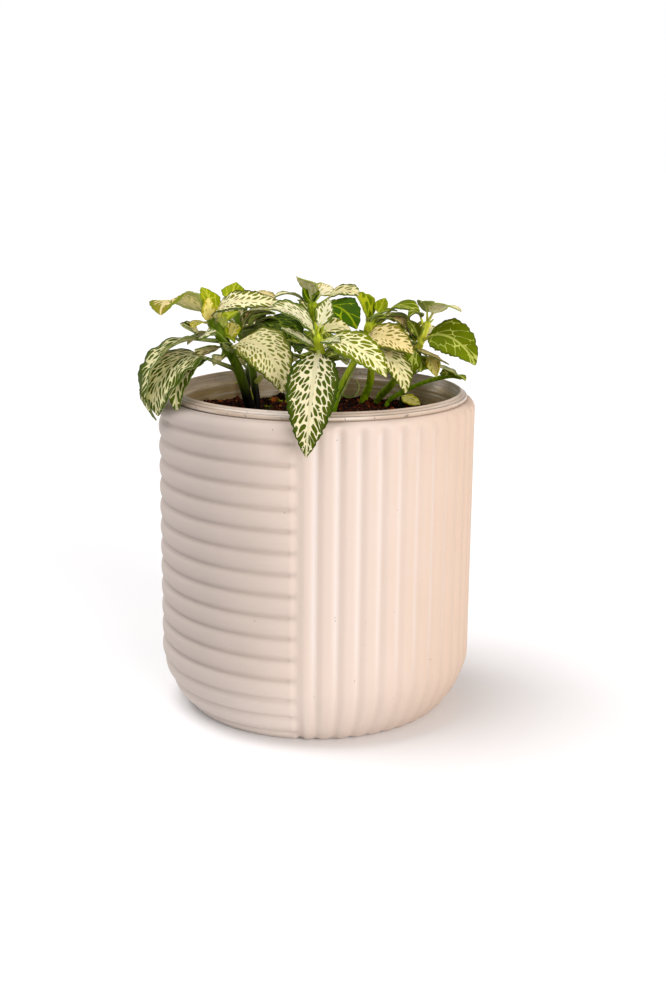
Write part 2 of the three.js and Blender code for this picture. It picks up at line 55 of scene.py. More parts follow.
def place_camera():
    data = bpy.data.cameras.new("camera")
    data.sensor_width = SENSOR_SIZE
    data.lens = SENSOR_SIZE * LENS_IN_PIXELS / IMAGE_HEIGHT_IN_PIXELS
    camera = bpy.data.objects.new("camera", data)
    forward = Vector((sin(CAMERA_YAW) * cos(CAMERA_PITCH), cos(CAMERA_YAW) * cos(CAMERA_PITCH),
                      -sin(CAMERA_PITCH)))
    level = forward.cross(Vector((0, 0, 1))).normalized()
    square = level.cross(forward)
    right = cos(CAMERA_ROLL) * level + sin(CAMERA_ROLL) * square
    up = cos(CAMERA_ROLL) * square - sin(CAMERA_ROLL) * level
    turn = Matrix((right, up, -forward)).transposed().to_4x4()
    place = Vector((0, -CAMERA_DISTANCE * cos(CAMERA_ELEVATION),
                    CAMERA_AIM_HEIGHT + CAMERA_DISTANCE * sin(CAMERA_ELEVATION)))
    camera.matrix_world = Matrix.Translation(place) @ turn
    bpy.context.scene.collection.objects.link(camera)
    bpy.context.scene.camera = camera


place_camera()


# Ceramic pot. One cast piece of matte stoneware: level bands on one half, upright flutes on the
# other, a plain rounded lip and a base that draws in to a flat foot. The wall is turned like the
# real pot on its wheel, and Geometry Nodes press the relief into it.
# Sizes are in millimetres from here on, and those that a node tree reads are times MM.
MM = 0.001
POT_RADIUS = 65
POT_HEIGHT = 130
MOUTH_RADIUS = 59.4
BASE_REACH = 13.2
BASE_RISE = 22.6
BASE_FULLNESS = 1.44
LIP_START = 126.25
LIP_ROUNDING = 3.75
POT_SIDES = 432
BASE_RINGS = 34
SHAFT_RINGS = 122
WALL_PER_DEGREE = POT_RADIUS * MM * pi / 180
POT_RELIEF = {
    "Seam angle": 262.8,
    "Seam depth": 0.8 * MM,
    "Top groove": 122.4 * MM,
    "Band pitch": 8.5 * MM,
    "Flute pitch": 7.5,
    "Flute top": 129.2 * MM,
    "Flute depth": 0.85 * MM,
    "Flute half width": 2.3 * MM,
    "Flute crown": 0.35 * MM,
    "Flute depth at foot": 0.35,
    "Flute gain at head": 0.5,
    "Band depth": 0.8 * MM,
    "Band half width": 1.4 * MM,
    "Band crown": 1.1 * MM,
    "Band gap": 0.9,
    # A painted highlight: a pale cool line beside each flute's channel, on the wall that faces the
    # key light
    "Painted highlight shift": 0.13,
    "Painted highlight half width": 0.21,
}
# Ranges over which the flutes begin past the seam, in degrees, and change up the wall
FLUTES_BEGIN = (2.2, 3.4)
FLUTES_FOOT = (0.0, 22 * MM)
FLUTES_HEAD = (108 * MM, 125 * MM)
# Over which the painted highlight on the flutes fades in up from the foot
PAINTED_HIGHLIGHT_FOOT = (6 * MM, 50 * MM)
SEAM_REACH = (0.5, 2.4)
# Where a channel's side rises, in half widths, and where the swell between channels starts to end
GROOVE_SIDE = (0.1, 1.1)
CROWN_END = 122 * MM
# The left tone is painted shade and the right tone painted warm light; the pale tone between is the
# stoneware's own colour
LEFT_PAINTED_SHADE_TONE = (176, 163, 155)
CERAMIC_PALE = (203, 186, 175)
RIGHT_PAINTED_WARM_LIGHT_TONE = (196, 174, 157)
# Painted shade, laid in the pressed channels and on the base at the right
PAINTED_SHADE_TONE = (160, 146, 136)
# Painted highlight, a pale cool line on each flute's lit wall
FLUTE_PAINTED_HIGHLIGHT_TONE = (222, 224, 229)
# Painted light: the base is lightened towards the foot on the left, as light from the floor below
# would
FOOT_PAINTED_LIGHT_TONE = (222, 212, 205)
PINHOLE_BROWN = (110, 82, 62)
# Ranges over which one tone passes into the next: across the pot from painted shade to painted warm
# light, and up from its foot
SHADED_LEFT_TO_PALE = (-45 * MM, 0.0)
PALE_TO_LIT_RIGHT = (15 * MM, 65 * MM)
FOOT_TO_WALL = (4 * MM, 35 * MM)
WALL_TO_LIP = (124 * MM, 129 * MM)
PINHOLES_PER_METRE = 260.0
PINHOLE_RARITY = 0.9


def colour(red, green, blue):
    """Linear colour from display values of 0 to 255."""
    shares = np.array((red, green, blue)) / 255
    linear = np.where(shares <= 0.04045, shares / 12.92, ((shares + 0.055) / 1.055) ** 2.4)
    return (*linear.tolist(), 1.0)


def operator(operation, reflected=False):
    """A method that adds one Math node for a value and another, if there is one."""
    def apply(value, *other):
        terms = (*other, value) if reflected else (value, *other)
        return value.tree.math(operation, *terms)

    return apply


@dataclass
class Value:
    """A socket that takes part in Python arithmetic; each operation adds one Math node."""
    tree: "Tree"
    socket: bpy.types.NodeSocket

    __add__ = __radd__ = operator("ADD")
    __sub__ = operator("SUBTRACT")
    __rsub__ = operator("SUBTRACT", reflected=True)
    __mul__ = __rmul__ = operator("MULTIPLY")
    __truediv__ = operator("DIVIDE")
    __pow__ = operator("POWER")
    __abs__ = operator("ABSOLUTE")


@dataclass
class Tree:
    """Adds nodes to one node tree, of a material or of Geometry Nodes."""
    tree: bpy.types.NodeTree

    def node(self, kind, values=None, settings=None):
        made = self.tree.nodes.new(kind)
        for name, setting in (settings or {}).items():
            setattr(made, name, setting)
        for name, value in (values or {}).items():
            if isinstance(value, Value):
                self.tree.links.new(value.socket, made.inputs[name])
            else:
                made.inputs[name].default_value = value
        return made

    def read(self, kind, values=None, settings=None, output=0):
        return Value(self, self.node(kind, values, settings).outputs[output])

    def math(self, operation, *terms):
        return self.read("ShaderNodeMath", dict(enumerate(terms)), {"operation": operation})

    def smooth(self, value, low, high):
        """0 below low, 1 above high and an S curve between."""
        return self.read("ShaderNodeMapRange", {"Value": value, "From Min": low, "From Max": high},
                         {"interpolation_type": "SMOOTHSTEP"})

    def mix(self, share, first, second):
        """A colour that goes from the first to the second."""
        return self.read("ShaderNodeMix", {0: share, 6: first, 7: second}, {"data_type": "RGBA"}, 2)

    def noise(self, place, scale, detail=3.0):
        return self.read("ShaderNodeTexNoise", {"Vector": place, "Scale": scale, "Detail": detail})

    def combine(self, *parts):
        return self.read("ShaderNodeCombineXYZ", dict(enumerate(parts)))

    def split(self, vector):
        made = self.node("ShaderNodeSeparateXYZ", {"Vector": vector})
        return [Value(self, socket) for socket in made.outputs]

    def attribute(self, name, output="Vector"):
        return self.read("ShaderNodeAttribute", None, {"attribute_name": name}, output)

    def bump(self, height, distance, strength=1.0):
        return self.read("ShaderNodeBump",
                         {"Height": height, "Distance": distance, "Strength": strength})


def new_finish(name, **constants):
    """A material with one Principled shader, its tree, and a call that feeds the shader."""
    material = bpy.data.materials.new(name)
    material.use_nodes = True
    tree = Tree(material.node_tree)
    shader = material.node_tree.nodes["Principled BSDF"]
    for socket, constant in constants.items():
        shader.inputs[socket.replace("_", " ")].default_value = constant

    def feed(socket, value):
        material.node_tree.links.new(value.socket, shader.inputs[socket])

    return material, tree, feed


def tube_faces(rings, sides):
    """Faces of rings of points that are closed by two poles, which follow the rings."""
    first_pole, last_pole, last_ring = rings * sides, rings * sides + 1, (rings - 1) * sides
    faces = []
    for k in range(sides):
        after = (k + 1) % sides
        faces += [(first_pole, after, k), (last_pole, last_ring + k, last_ring + after)]
    for low in range(0, last_ring, sides):
        for k in range(sides):
            after = (k + 1) % sides
            faces.append((low + k, low + after, low + sides + after, low + sides + k))
    return faces


def turned(profile, sides, centre=0.0):
    """Points and faces of a profile turned about the upright axis, which it starts and ends on."""
    turn = np.linspace(0, 2 * pi, sides, endpoint=False)
    inner = np.array(profile[1:-1])
    x = np.outer(inner[:, 0], np.cos(turn)) + centre
    y = np.outer(inner[:, 0], np.sin(turn))
    rings = np.stack([x, y, np.repeat(inner[:, 1:], sides, axis=1)], axis=-1).reshape(-1, 3)
    points = np.vstack([rings, [(centre, 0, profile[0][1]), (centre, 0, profile[-1][1])]])
    return points, tube_faces(len(inner), sides)


def new_piece(name, points, faces):
    """A smooth-shaded object at the origin from points in millimetres."""
    mesh = bpy.data.meshes.new(name)
    mesh.from_pydata((np.asarray(points) * MM).tolist(), [], faces)
    mesh.shade_smooth()
    piece = bpy.data.objects.new(name, mesh)
    bpy.context.scene.collection.objects.link(piece)
    return piece


def mark(piece, name, values, kind="FLOAT"):
    """Stores one value for each point of a piece under a name that its material reads."""
    field = "value" if kind == "FLOAT" else "vector" if kind == "FLOAT_VECTOR" else "color"
    stored = piece.data.attributes.new(name, kind, "POINT")
    stored.data.foreach_set(field, np.asarray(values, dtype=np.float32).ravel())


def shaped(piece, group, sizes):
    """Runs a Geometry Nodes tree on a piece and keeps the result as its plain mesh."""
    modifier = piece.modifiers.new("shape", "NODES")
    modifier.node_group = group
    for item in group.interface.items_tree:
        if item.in_out == "INPUT" and item.name in sizes:
            modifier[item.identifier] = sizes[item.name]
    evaluated = piece.evaluated_get(bpy.context.evaluated_depsgraph_get())
    result = bpy.data.meshes.new_from_object(evaluated)
    piece.modifiers.remove(modifier)
    piece.data = result


def pot_wall_radius(z):
    rest = (1 - min(z / BASE_RISE, 1)) ** BASE_FULLNESS
    return POT_RADIUS - BASE_REACH * (1 - (1 - rest) ** (1 / BASE_FULLNESS))


def pot_profile():
    """The outside from the foot up, and then the lip and the inside down to the floor."""
    base = [BASE_RISE * (k / BASE_RINGS) ** 1.5 for k in range(BASE_RINGS)]
    shaft = np.linspace(BASE_RISE, LIP_START, SHAFT_RINGS).tolist()
    outside = [(pot_wall_radius(z), z) for z in base + shaft]
    corner = [(POT_RADIUS - LIP_ROUNDING * (1 - cos(a)), LIP_START + LIP_ROUNDING * sin(a))
              for a in np.radians(np.arange(10, 91, 10))]
    inside = [(60.6, POT_HEIGHT), (60.0, 129.8), (MOUTH_RADIUS, 129.2), (MOUTH_RADIUS - 0.2, 127),
              (58.8, 100), (58.4, 30), (57, 18), (53, 11), (48, 9)]
    return [(0, 0), (48, 0), *outside, *corner, *inside, (0, 9)], len(outside) + len(corner)


def new_shape(name, sizes):
    """A Geometry Nodes tree with one named input for each size, and the values of its inputs."""
    group = bpy.data.node_groups.new(name, "GeometryNodeTree")
    group.interface.new_socket("Geometry", in_out="INPUT", socket_type="NodeSocketGeometry")
    for label, value in sizes.items():
        kind = "NodeSocketInt" if isinstance(value, int) else "NodeSocketFloat"
        group.interface.new_socket(label, in_out="INPUT", socket_type=kind)
    group.interface.new_socket("Geometry", in_out="OUTPUT", socket_type="NodeSocketGeometry")
    tree = Tree(group)
    given = tree.node("NodeGroupInput")
    return tree, {socket.name: Value(tree, socket) for socket in given.outputs}


def end_shape(tree, geometry, material):
    """Ends a Geometry Nodes tree in real faces of one material."""
    real = tree.read("GeometryNodeRealizeInstances", {"Geometry": geometry})
    finished = tree.read("GeometryNodeSetMaterial", {"Geometry": real, "Material": material})
    tree.node("NodeGroupOutput", {0: finished})
    return tree.tree


def relief_tree(material):
    """Presses level bands into one half of a wall and upright flutes into the other."""
    tree, size = new_shape("pot relief", POT_RELIEF)
    place = tree.read("GeometryNodeInputPosition")
    x, y, z = tree.split(place)
    degrees = tree.math("ARCTAN2", y, x) * (180 / pi) - size["Seam angle"]
    turn = tree.math("FLOORED_MODULO", degrees + 90, 360.0) - 90
    past_seam = 90 - abs(turn - 90)
    on_flutes = tree.smooth(past_seam, -0.01, 0.01)

    def repeats(steps):
        """How far past the middle of its step a value is, in steps, from -0.5 to 0.5."""
        return tree.math("FRACT", steps + 48.5) - 0.5

    def groove(from_middle, past_end, half_width, deep):
        """A rounded channel with a round end, by the distances from its middle and past its end."""
        over = tree.math("MAXIMUM", past_end + half_width, 0.0)
        apart = (from_middle ** 2 + over ** 2) ** 0.5 / half_width
        return (1 - tree.smooth(apart, *GROOVE_SIDE)) * deep

    past_flute = repeats(turn / size["Flute pitch"])
    from_rib = 0.5 - abs(past_flute)
    to_band = abs(repeats((z - size["Top groove"]) / size["Band pitch"]))
    flute_fade = tree.smooth(past_seam, *FLUTES_BEGIN)
    flutes = groove(abs(past_flute) * size["Flute pitch"] * WALL_PER_DEGREE,
                    z - size["Flute top"], size["Flute half width"], size["Flute depth"])
    at_foot = size["Flute depth at foot"]
    flutes = flutes * flute_fade * (at_foot + (1 - at_foot) * tree.smooth(z, *FLUTES_FOOT))
    flutes = flutes * (1 + size["Flute gain at head"] * tree.smooth(z, *FLUTES_HEAD))
    bands = groove(to_band * size["Band pitch"], (past_seam + size["Band gap"]) * WALL_PER_DEGREE,
                   size["Band half width"], size["Band depth"])
    flute_crown = size["Flute crown"] * (2 * from_rib) ** 2
    band_crown = size["Band crown"] * (1 - 2 * to_band) ** 2
    crown = on_flutes * flute_crown + (1 - on_flutes) * band_crown
    crown = crown * (1 - tree.smooth(z, CROWN_END, size["Flute top"]))
    seam = (1 - tree.smooth(abs(past_seam - 1), *SEAM_REACH)) * size["Seam depth"]
    seam = seam * (1 - tree.smooth(z, size["Flute top"] - 3 * MM, size["Flute top"]))
    outside = tree.read("GeometryNodeInputNamedAttribute", {"Name": "outside"})
    channel = on_flutes * flutes + (1 - on_flutes) * bands
    depth = (tree.math("MAXIMUM", channel, seam) + crown) * outside
    normal = tree.read("GeometryNodeInputNormal")
    sunk = tree.read("ShaderNodeVectorMath", {0: normal, "Scale": depth * -1},
                     {"operation": "SCALE"})
    moved = tree.read("ShaderNodeVectorMath", {0: place, 1: sunk}, {"operation": "ADD"})
    above_floor = tree.read("ShaderNodeVectorMath", {0: moved, 1: (-1, -1, 0)},
                            {"operation": "MAXIMUM"})
    # Painted highlight: a pale line on the side wall of each channel that faces the key light,
    # stored for the finish
    from_painted_highlight = abs(past_flute + size["Painted highlight shift"])
    pool = (1 - tree.smooth(from_painted_highlight, 0.0, size["Painted highlight half width"])) * on_flutes * flute_fade
    pool = pool * tree.smooth(z, *PAINTED_HIGHLIGHT_FOOT)
    pool = pool * (1 - tree.smooth(z, size["Flute top"] - 6 * MM, size["Flute top"] - 1 * MM))
    stored = size["Geometry"]
    for name, value in (("groove", depth / MM), ("pool", pool * outside)):
        stored = tree.read("GeometryNodeStoreNamedAttribute",
                           {"Geometry": stored, "Name": name, "Value": value})
    pressed = tree.read("GeometryNodeSetPosition", {"Geometry": stored, "Position": above_floor})
    return end_shape(tree, pressed, material)


def ceramic_finish():
    material, tree, feed = new_finish("ceramic", Roughness=0.62, Specular_IOR_Level=0.35)
    place = tree.read("ShaderNodeTexCoord", output="Object")
    x, _, z = tree.split(place)
    clouds = tree.noise(place, 38.0)
    side = x + (clouds - 0.5) * 0.02
    # Painted shade on the left side of the pot and painted warm light on its right side
    body = tree.mix(tree.smooth(side, *SHADED_LEFT_TO_PALE), colour(*LEFT_PAINTED_SHADE_TONE), colour(*CERAMIC_PALE))
    body = tree.mix(tree.smooth(side, *PALE_TO_LIT_RIGHT), body, colour(*RIGHT_PAINTED_WARM_LIGHT_TONE))
    low = 1 - tree.smooth(z, *FOOT_TO_WALL)
    # Painted light from the floor, lightening the base towards the foot, most on the left
    body = tree.mix(low * (0.3 - 0.3 * tree.smooth(side, -0.02, 0.04)), body, colour(*FOOT_PAINTED_LIGHT_TONE))
    # Painted shade on the base at the right, towards the foot
    body = tree.mix(low * 0.25 * tree.smooth(side, -0.02, 0.01), body, colour(*PAINTED_SHADE_TONE))
    # Painted shade in the channels, stronger where they are pressed deeper
    sunk = tree.smooth(tree.attribute("groove", "Fac"), 0.5, 1.6)
    body = tree.mix(sunk * 0.15, body, colour(*PAINTED_SHADE_TONE))
    # Painted highlight on the lit wall of each flute
    body = tree.mix(tree.attribute("pool", "Fac") * 0.3, body, colour(*FLUTE_PAINTED_HIGHLIGHT_TONE))
    cells = tree.node("ShaderNodeTexVoronoi", {"Vector": place, "Scale": PINHOLES_PER_METRE})
    random = tree.split(Value(tree, cells.outputs["Color"]))
    near_lip = tree.smooth(z, *WALL_TO_LIP)
    chosen = tree.math("GREATER_THAN", random[0] + near_lip * 0.25, PINHOLE_RARITY)
    dot = 1 - tree.smooth(Value(tree, cells.outputs["Distance"]), 0.03, 0.07 + random[1] * 0.06)
    body = tree.mix(dot * chosen * 0.75, body, colour(*PINHOLE_BROWN))
    feed("Base Color", body)
    grain = tree.noise(place, 900.0, 4.0)
    feed("Normal", tree.bump(grain * 0.5 + clouds - dot * chosen, 0.00025, 0.5))
    return material


pot_points, pot_wall_rows = pot_profile()
points, faces = turned(pot_points, POT_SIDES)
outer_pot = new_piece("outer_pot_glazed", points, faces)
rows = np.repeat(np.arange(len(pot_points) - 2), POT_SIDES)
mark(outer_pot, "outside", np.append((rows >= 1) & (rows <= pot_wall_rows), [False, False]))
shaped(outer_pot, relief_tree(ceramic_finish()), POT_RELIEF)
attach(outer_pot, "root")
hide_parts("outer_pot")


# Grower's pot. A thin clear plastic pot, blow-moulded and gone milky, that hangs by its rolled rim
# on the ceramic lip. Its rim has a sloping face with fine steps, and the wall has a stacking step
# inside. It sits a little to one side of the ceramic pot's axis.
LINER_SHIFT = 0.8
LINER_BOTTOM = 24.6
LINER_WALL = 1.0
LINER_SIDES = 160
PLASTIC_PALE = (196, 176, 158)
PLASTIC_DEEP = (178, 152, 108)
PLASTIC_MILKY = (228, 220, 208)
PLASTIC_DARK_MARKS = (86, 74, 66)
# Heights of the fine steps in the rim's face, and how dark a line is laid along each
RIM_SEAMS = ((130.35, 0.35), (131.85, 0.6), (132.65, 0.55))


def liner_inside(z):
    """Inside radius of the grower's pot below its stacking step."""
    return np.interp(z, (LINER_BOTTOM, 128), (43.5, 55.9))


def liner_profile():
    floor = LINER_BOTTOM + LINER_WALL
    wall = [(liner_inside(z), z) for z in (126.8, 118, 90, 60, floor + 3)]
    return [
        (0, LINER_BOTTOM), (42, LINER_BOTTOM),
        (liner_inside(LINER_BOTTOM) + LINER_WALL, LINER_BOTTOM + 1.5),
        (liner_inside(90) + LINER_WALL, 90), (liner_inside(126) + LINER_WALL, 126),
        (57.6, 127.2), (58.2, 127.8), (58.3, 130.1), (60.5, 130.05), (60.75, 130.35),
        (60.8, 131.4), (60.55, 131.75), (60.1, 131.9), (60.0, 132.15), (59.5, 132.35),
        (59.35, 132.65), (58.9, 132.85), (58.6, 133.2), (58.2, 133.35), (57.9, 133.25),
        (57.75, 132.9), (57.6, 130.6), (57.35, 130.2), (57.2, 129.2), (56.9, 128.9),
        (56.2, 128.7), (55.95, 128.3), (55.85, 127.4), *wall, (42, floor), (0, floor),
    ]


def plastic_finish():
    material, tree, feed = new_finish("clear_plastic", Roughness=0.28, Transmission_Weight=0.15,
                                      IOR=1.46)
    place = tree.read("ShaderNodeTexCoord", output="Object")
    x, y, z = tree.split(place)
    clouds = tree.noise(place, 60.0)
    turn = tree.math("ARCTAN2", y, x)
    from_axis = (x ** 2 + y ** 2) ** 0.5
    drawn = tree.noise(tree.combine(from_axis * 900, z * 900, turn * 2.5), 1.0)
    below_rim = 1 - tree.smooth(z + (clouds - 0.5) * 4 * MM, 126.5 * MM, 130.5 * MM)
    body = tree.mix(below_rim, colour(*PLASTIC_PALE), colour(*PLASTIC_DEEP))
    body = tree.mix(tree.smooth(drawn, 0.45, 0.7) * 0.6, body, colour(*PLASTIC_MILKY))
    scuffs = tree.smooth(tree.noise(place, 420.0, 2.0), 0.66, 0.72)
    ticks = tree.smooth(tree.math("SINE", turn * 31.0 + clouds * 14), 0.985, 1.0)
    rim_side = tree.smooth(z, 130.2 * MM, 130.5 * MM) * (1 - tree.smooth(z, 131.3 * MM, 131.7 * MM))
    # Dark lines along the rim's steps, broken up by the clouds
    seams = 0.0
    for height, strength in RIM_SEAMS:
        seams = seams + (1 - tree.smooth(abs(z - height * MM), 0.08 * MM, 0.2 * MM)) * strength
    marks = tree.math("MAXIMUM", scuffs * 0.3, ticks * rim_side * 0.6)
    marks = tree.math("MAXIMUM", marks, seams * tree.smooth(clouds, 0.25, 0.6))
    feed("Base Color", tree.mix(marks, body, colour(*PLASTIC_DARK_MARKS)))
    feed("Normal", tree.bump(clouds + drawn, 0.0005, 0.5))
    return material


points, faces = turned(liner_profile(), LINER_SIDES, LINER_SHIFT)
liner_pot = new_piece("liner_pot_clear", points, faces)
liner_pot.data.materials.append(plastic_finish())
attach(liner_pot, "root")
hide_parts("liner_pot")


# Soil. Moist dark peat with fibres and bark crumbs, filled into the grower's pot by hand. Geometry
# Nodes scatter the crumbs and a few larger chips over the bed, in which they lie half sunk.
SOIL_TOP = 120
SOIL_BOTTOM = 26.1
SOIL_SIDES = 120
CRUMB_SIZES = {"Density": 640000.0, "Smallest": 0.35, "Largest": 1.05, "Seed": 4}
CHIP_SIZES = {"Density": 16000.0, "Smallest": 1.0, "Largest": 2.2, "Seed": 11}
CRUMB_RADIUS = 1.0
CRUMB_KINDS = 3
BED_TINT = 0.1
HEAP_PLACE = (-42, 12)
HEAP_HEIGHT = 2.8
HEAP_SPREAD = 420
PEAT_DARK = (24, 9, 4)
PEAT_RED = (96, 34, 10)
PEAT_TAN = (146, 74, 26)
MOSS_GREEN = (158, 176, 8)
# Where moss shows between the crumbs, as x and y in metres
MOSS_SPOTS = ((-0.0225, 0.018), (-0.047, 0.006), (-0.009, 0.030), (-0.019, 0.043), (-0.015, 0.040))


def soil_height(x, y):
    waves = np.sin(x * 0.31 + 1.3) * np.cos(y * 0.37) + 0.6 * np.sin(x * 0.83 - y * 0.71)
    fine = 0.35 * np.sin(x * 2.1 + y * 1.3) * np.cos(y * 1.9 - x * 0.7)
    from_heap = (x - HEAP_PLACE[0]) ** 2 + (y - HEAP_PLACE[1]) ** 2
    heap = HEAP_HEIGHT * np.exp(-from_heap / HEAP_SPREAD)
    return SOIL_TOP + 0.7 * waves + fine + heap


def soil_mesh():
    top_radius = liner_inside(SOIL_TOP) - 0.35
    steps = np.linspace(1, 0.02, 40) * (top_radius - 0.2)
    profile = [(0, SOIL_BOTTOM), (liner_inside(SOIL_BOTTOM) - 0.4, SOIL_BOTTOM),
               (top_radius, SOIL_TOP - 1), *((radius, SOIL_TOP) for radius in steps), (0, SOIL_TOP)]
    points, faces = turned(profile, SOIL_SIDES, LINER_SHIFT)
    on_top = points[:, 2] > SOIL_TOP - 0.5
    points[on_top, 2] = soil_height(points[on_top, 0], points[on_top, 1])
    return points, faces, on_top


def crumb(name, seed):
    """One rough crumb of twenty faces, used many times."""
    rough = np.random.default_rng(seed)
    bpy.ops.mesh.primitive_ico_sphere_add(subdivisions=1, radius=CRUMB_RADIUS * MM)
    piece = bpy.context.object
    piece.name = name
    for point in piece.data.vertices:
        point.co *= rough.uniform(0.65, 1.25)
        point.co.z *= 0.7
    return piece


def crumb_tree(shapes, material):
    """Scatters crumbs over the upper side of a bed and adds them to it."""
    tree, size = new_shape("crumbs", CRUMB_SIZES)

    def joined(parts):
        made = tree.node("GeometryNodeJoinGeometry")
        for part in parts:
            tree.tree.links.new(part.socket, made.inputs[0])
        return Value(tree, made.outputs[0])

    top = tree.read("GeometryNodeInputNamedAttribute", {"Name": "top"})
    scattered = tree.read("GeometryNodeDistributePointsOnFaces",
                          {"Mesh": size["Geometry"], "Selection": top, "Density": size["Density"],
                           "Seed": size["Seed"]})
    kinds = joined(tree.read("GeometryNodeObjectInfo", {"Object": shape, "As Instance": True},
                             output="Geometry") for shape in shapes)
    turn = tree.read("FunctionNodeRandomValue",
                     {"Min": (0, 0, 0), "Max": (2 * pi, 2 * pi, 2 * pi), "Seed": 5},
                     {"data_type": "FLOAT_VECTOR"})
    scale = tree.read("FunctionNodeRandomValue",
                      {2: size["Smallest"], 3: size["Largest"], "Seed": 6}, output=1)
    placed = tree.read("GeometryNodeInstanceOnPoints",
                       {"Points": scattered, "Instance": kinds, "Pick Instance": True,
                        "Rotation": turn, "Scale": scale})
    tint = tree.read("FunctionNodeRandomValue", {2: 0.0, 3: 1.0, "Seed": 8}, output=1)
    tinted = tree.read("GeometryNodeStoreNamedAttribute",
                       {"Geometry": placed, "Name": "tint", "Value": tint}, {"domain": "INSTANCE"})
    real = tree.read("GeometryNodeRealizeInstances", {"Geometry": tinted})
    return end_shape(tree, joined((real, size["Geometry"])), material)


def peat_finish():
    material, tree, feed = new_finish("peat", Roughness=0.9, Specular_IOR_Level=0.12)
    place = tree.read("ShaderNodeTexCoord", output="Object")
    tint = tree.attribute("tint", "Fac")
    grain = tree.noise(place, 700.0)
    body = tree.mix(tree.smooth(tint + grain, 0.85, 1.6), colour(*PEAT_DARK), colour(*PEAT_RED))
    body = tree.mix(tree.smooth(tint, 0.93, 0.97), body, colour(*PEAT_TAN))
    for x, y in MOSS_SPOTS:
        away = tree.read("ShaderNodeVectorMath", {0: place, 1: (x, y, SOIL_TOP * MM)},
                         {"operation": "DISTANCE"}, "Value")
        moss = (1 - tree.smooth(away, 1 * MM, 5 * MM)) * tree.smooth(grain, 0.45, 0.6)
        body = tree.mix(moss, body, colour(*MOSS_GREEN))
    feed("Base Color", body)
    feed("Normal", tree.bump(grain, 0.0004, 0.8))
    return material


peat = peat_finish()
points, faces, on_top = soil_mesh()
soil = new_piece("soil_peat", points, faces)
mark(soil, "top", on_top)
mark(soil, "tint", np.full(len(points), BED_TINT))
crumb_shapes = [crumb(f"crumb_{k}", k) for k in range(CRUMB_KINDS)]
for sizes in (CRUMB_SIZES, CHIP_SIZES):
    shaped(soil, crumb_tree(crumb_shapes, peat), sizes)
for shape in crumb_shapes:
    bpy.data.objects.remove(shape)
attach(soil, "root")
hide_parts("soil")


# Leafy stems. Soft green stems with pairs of short-stalked leaves. A blade is thin, quilted between
# its side veins and finely toothed, and its nerves are a cream net that leaves the islands between
# them and the margin green. Each stem stands in the soil.
BLADE_THICKNESS = 0.45
FOLD = 12
EDGE_WAVE = 0.05
EDGE_WAVE_LENGTH = 9
LEAST_HALF_WIDTH = 0.3
TOOTH_PITCH = 2.2
TOOTH_DEPTH = 0.5
LOBE_PITCH = 4.6
LOBE_DEPTH = 0.6
SIDE_VEIN_PITCH = 3.7
SIDE_VEIN_SLANT = 1.15
SIDE_VEIN_CURVE = 0.02
CELL_LENGTH = 2.9
CELL_RANDOMNESS = 0.85
CELL_ROUNDNESS = 0.25
NET_WANDER = 2.2
NET_WANDER_OUT = 1.6
QUILT_DEPTH = 0.28
FULL_QUILT_WIDTH = 16
OUTLINE_POWER = 0.8
ROW_STEP = 0.6
ROW_LIMITS = (12, 84)
COLUMN_STEP = 1.0
COLUMN_LIMITS = (3, 11)
# Undersides are paler, as the plant's are, and also lightened as painted light where they face down
# into shade
UNDERSIDE_PALE_AND_PAINTED_LIGHT = (212, 226, 150)
STREAK_SHADE = (206, 208, 190)
STEM_SIDES = 12
STEM_DEPTH = 10
STEM_COLLAR = 1.5
STEM_TAPER = 0.35
JOINT_SWELLING = 0.12
JOINT_LENGTH = 2.0
DARK_FOOT = 11
DARK_FOOT_FADE = 10
STALK_SIDES = 8
STALK_RINGS = 6
STALK_RADII = (0.35, 1.1)
STALK_TAPER = 0.45
STALK_BLEND = 0.6
WIDTH_PER_STALK_RADIUS = 30
# How far a stalk runs on under its blade: a share of the blade's length, up to a limit
STALK_SHARE = 0.12
STALK_REACH = 3
# A leaf's seed shifts its net, teeth and waves against those of the leaf before it
SEED_STEP = 1.7
SEED_RANGE = 7
BLADE, STALK = 0, 1


@dataclass
class Look:
    """Colours of a leaf's nerves, of the islands between them and of its margin, the share of the
    blade that the nerves and the margin take, and how fine the net is."""
    vein: tuple
    leaf: tuple
    margin: tuple
    width: float
    border: float
    scale: float


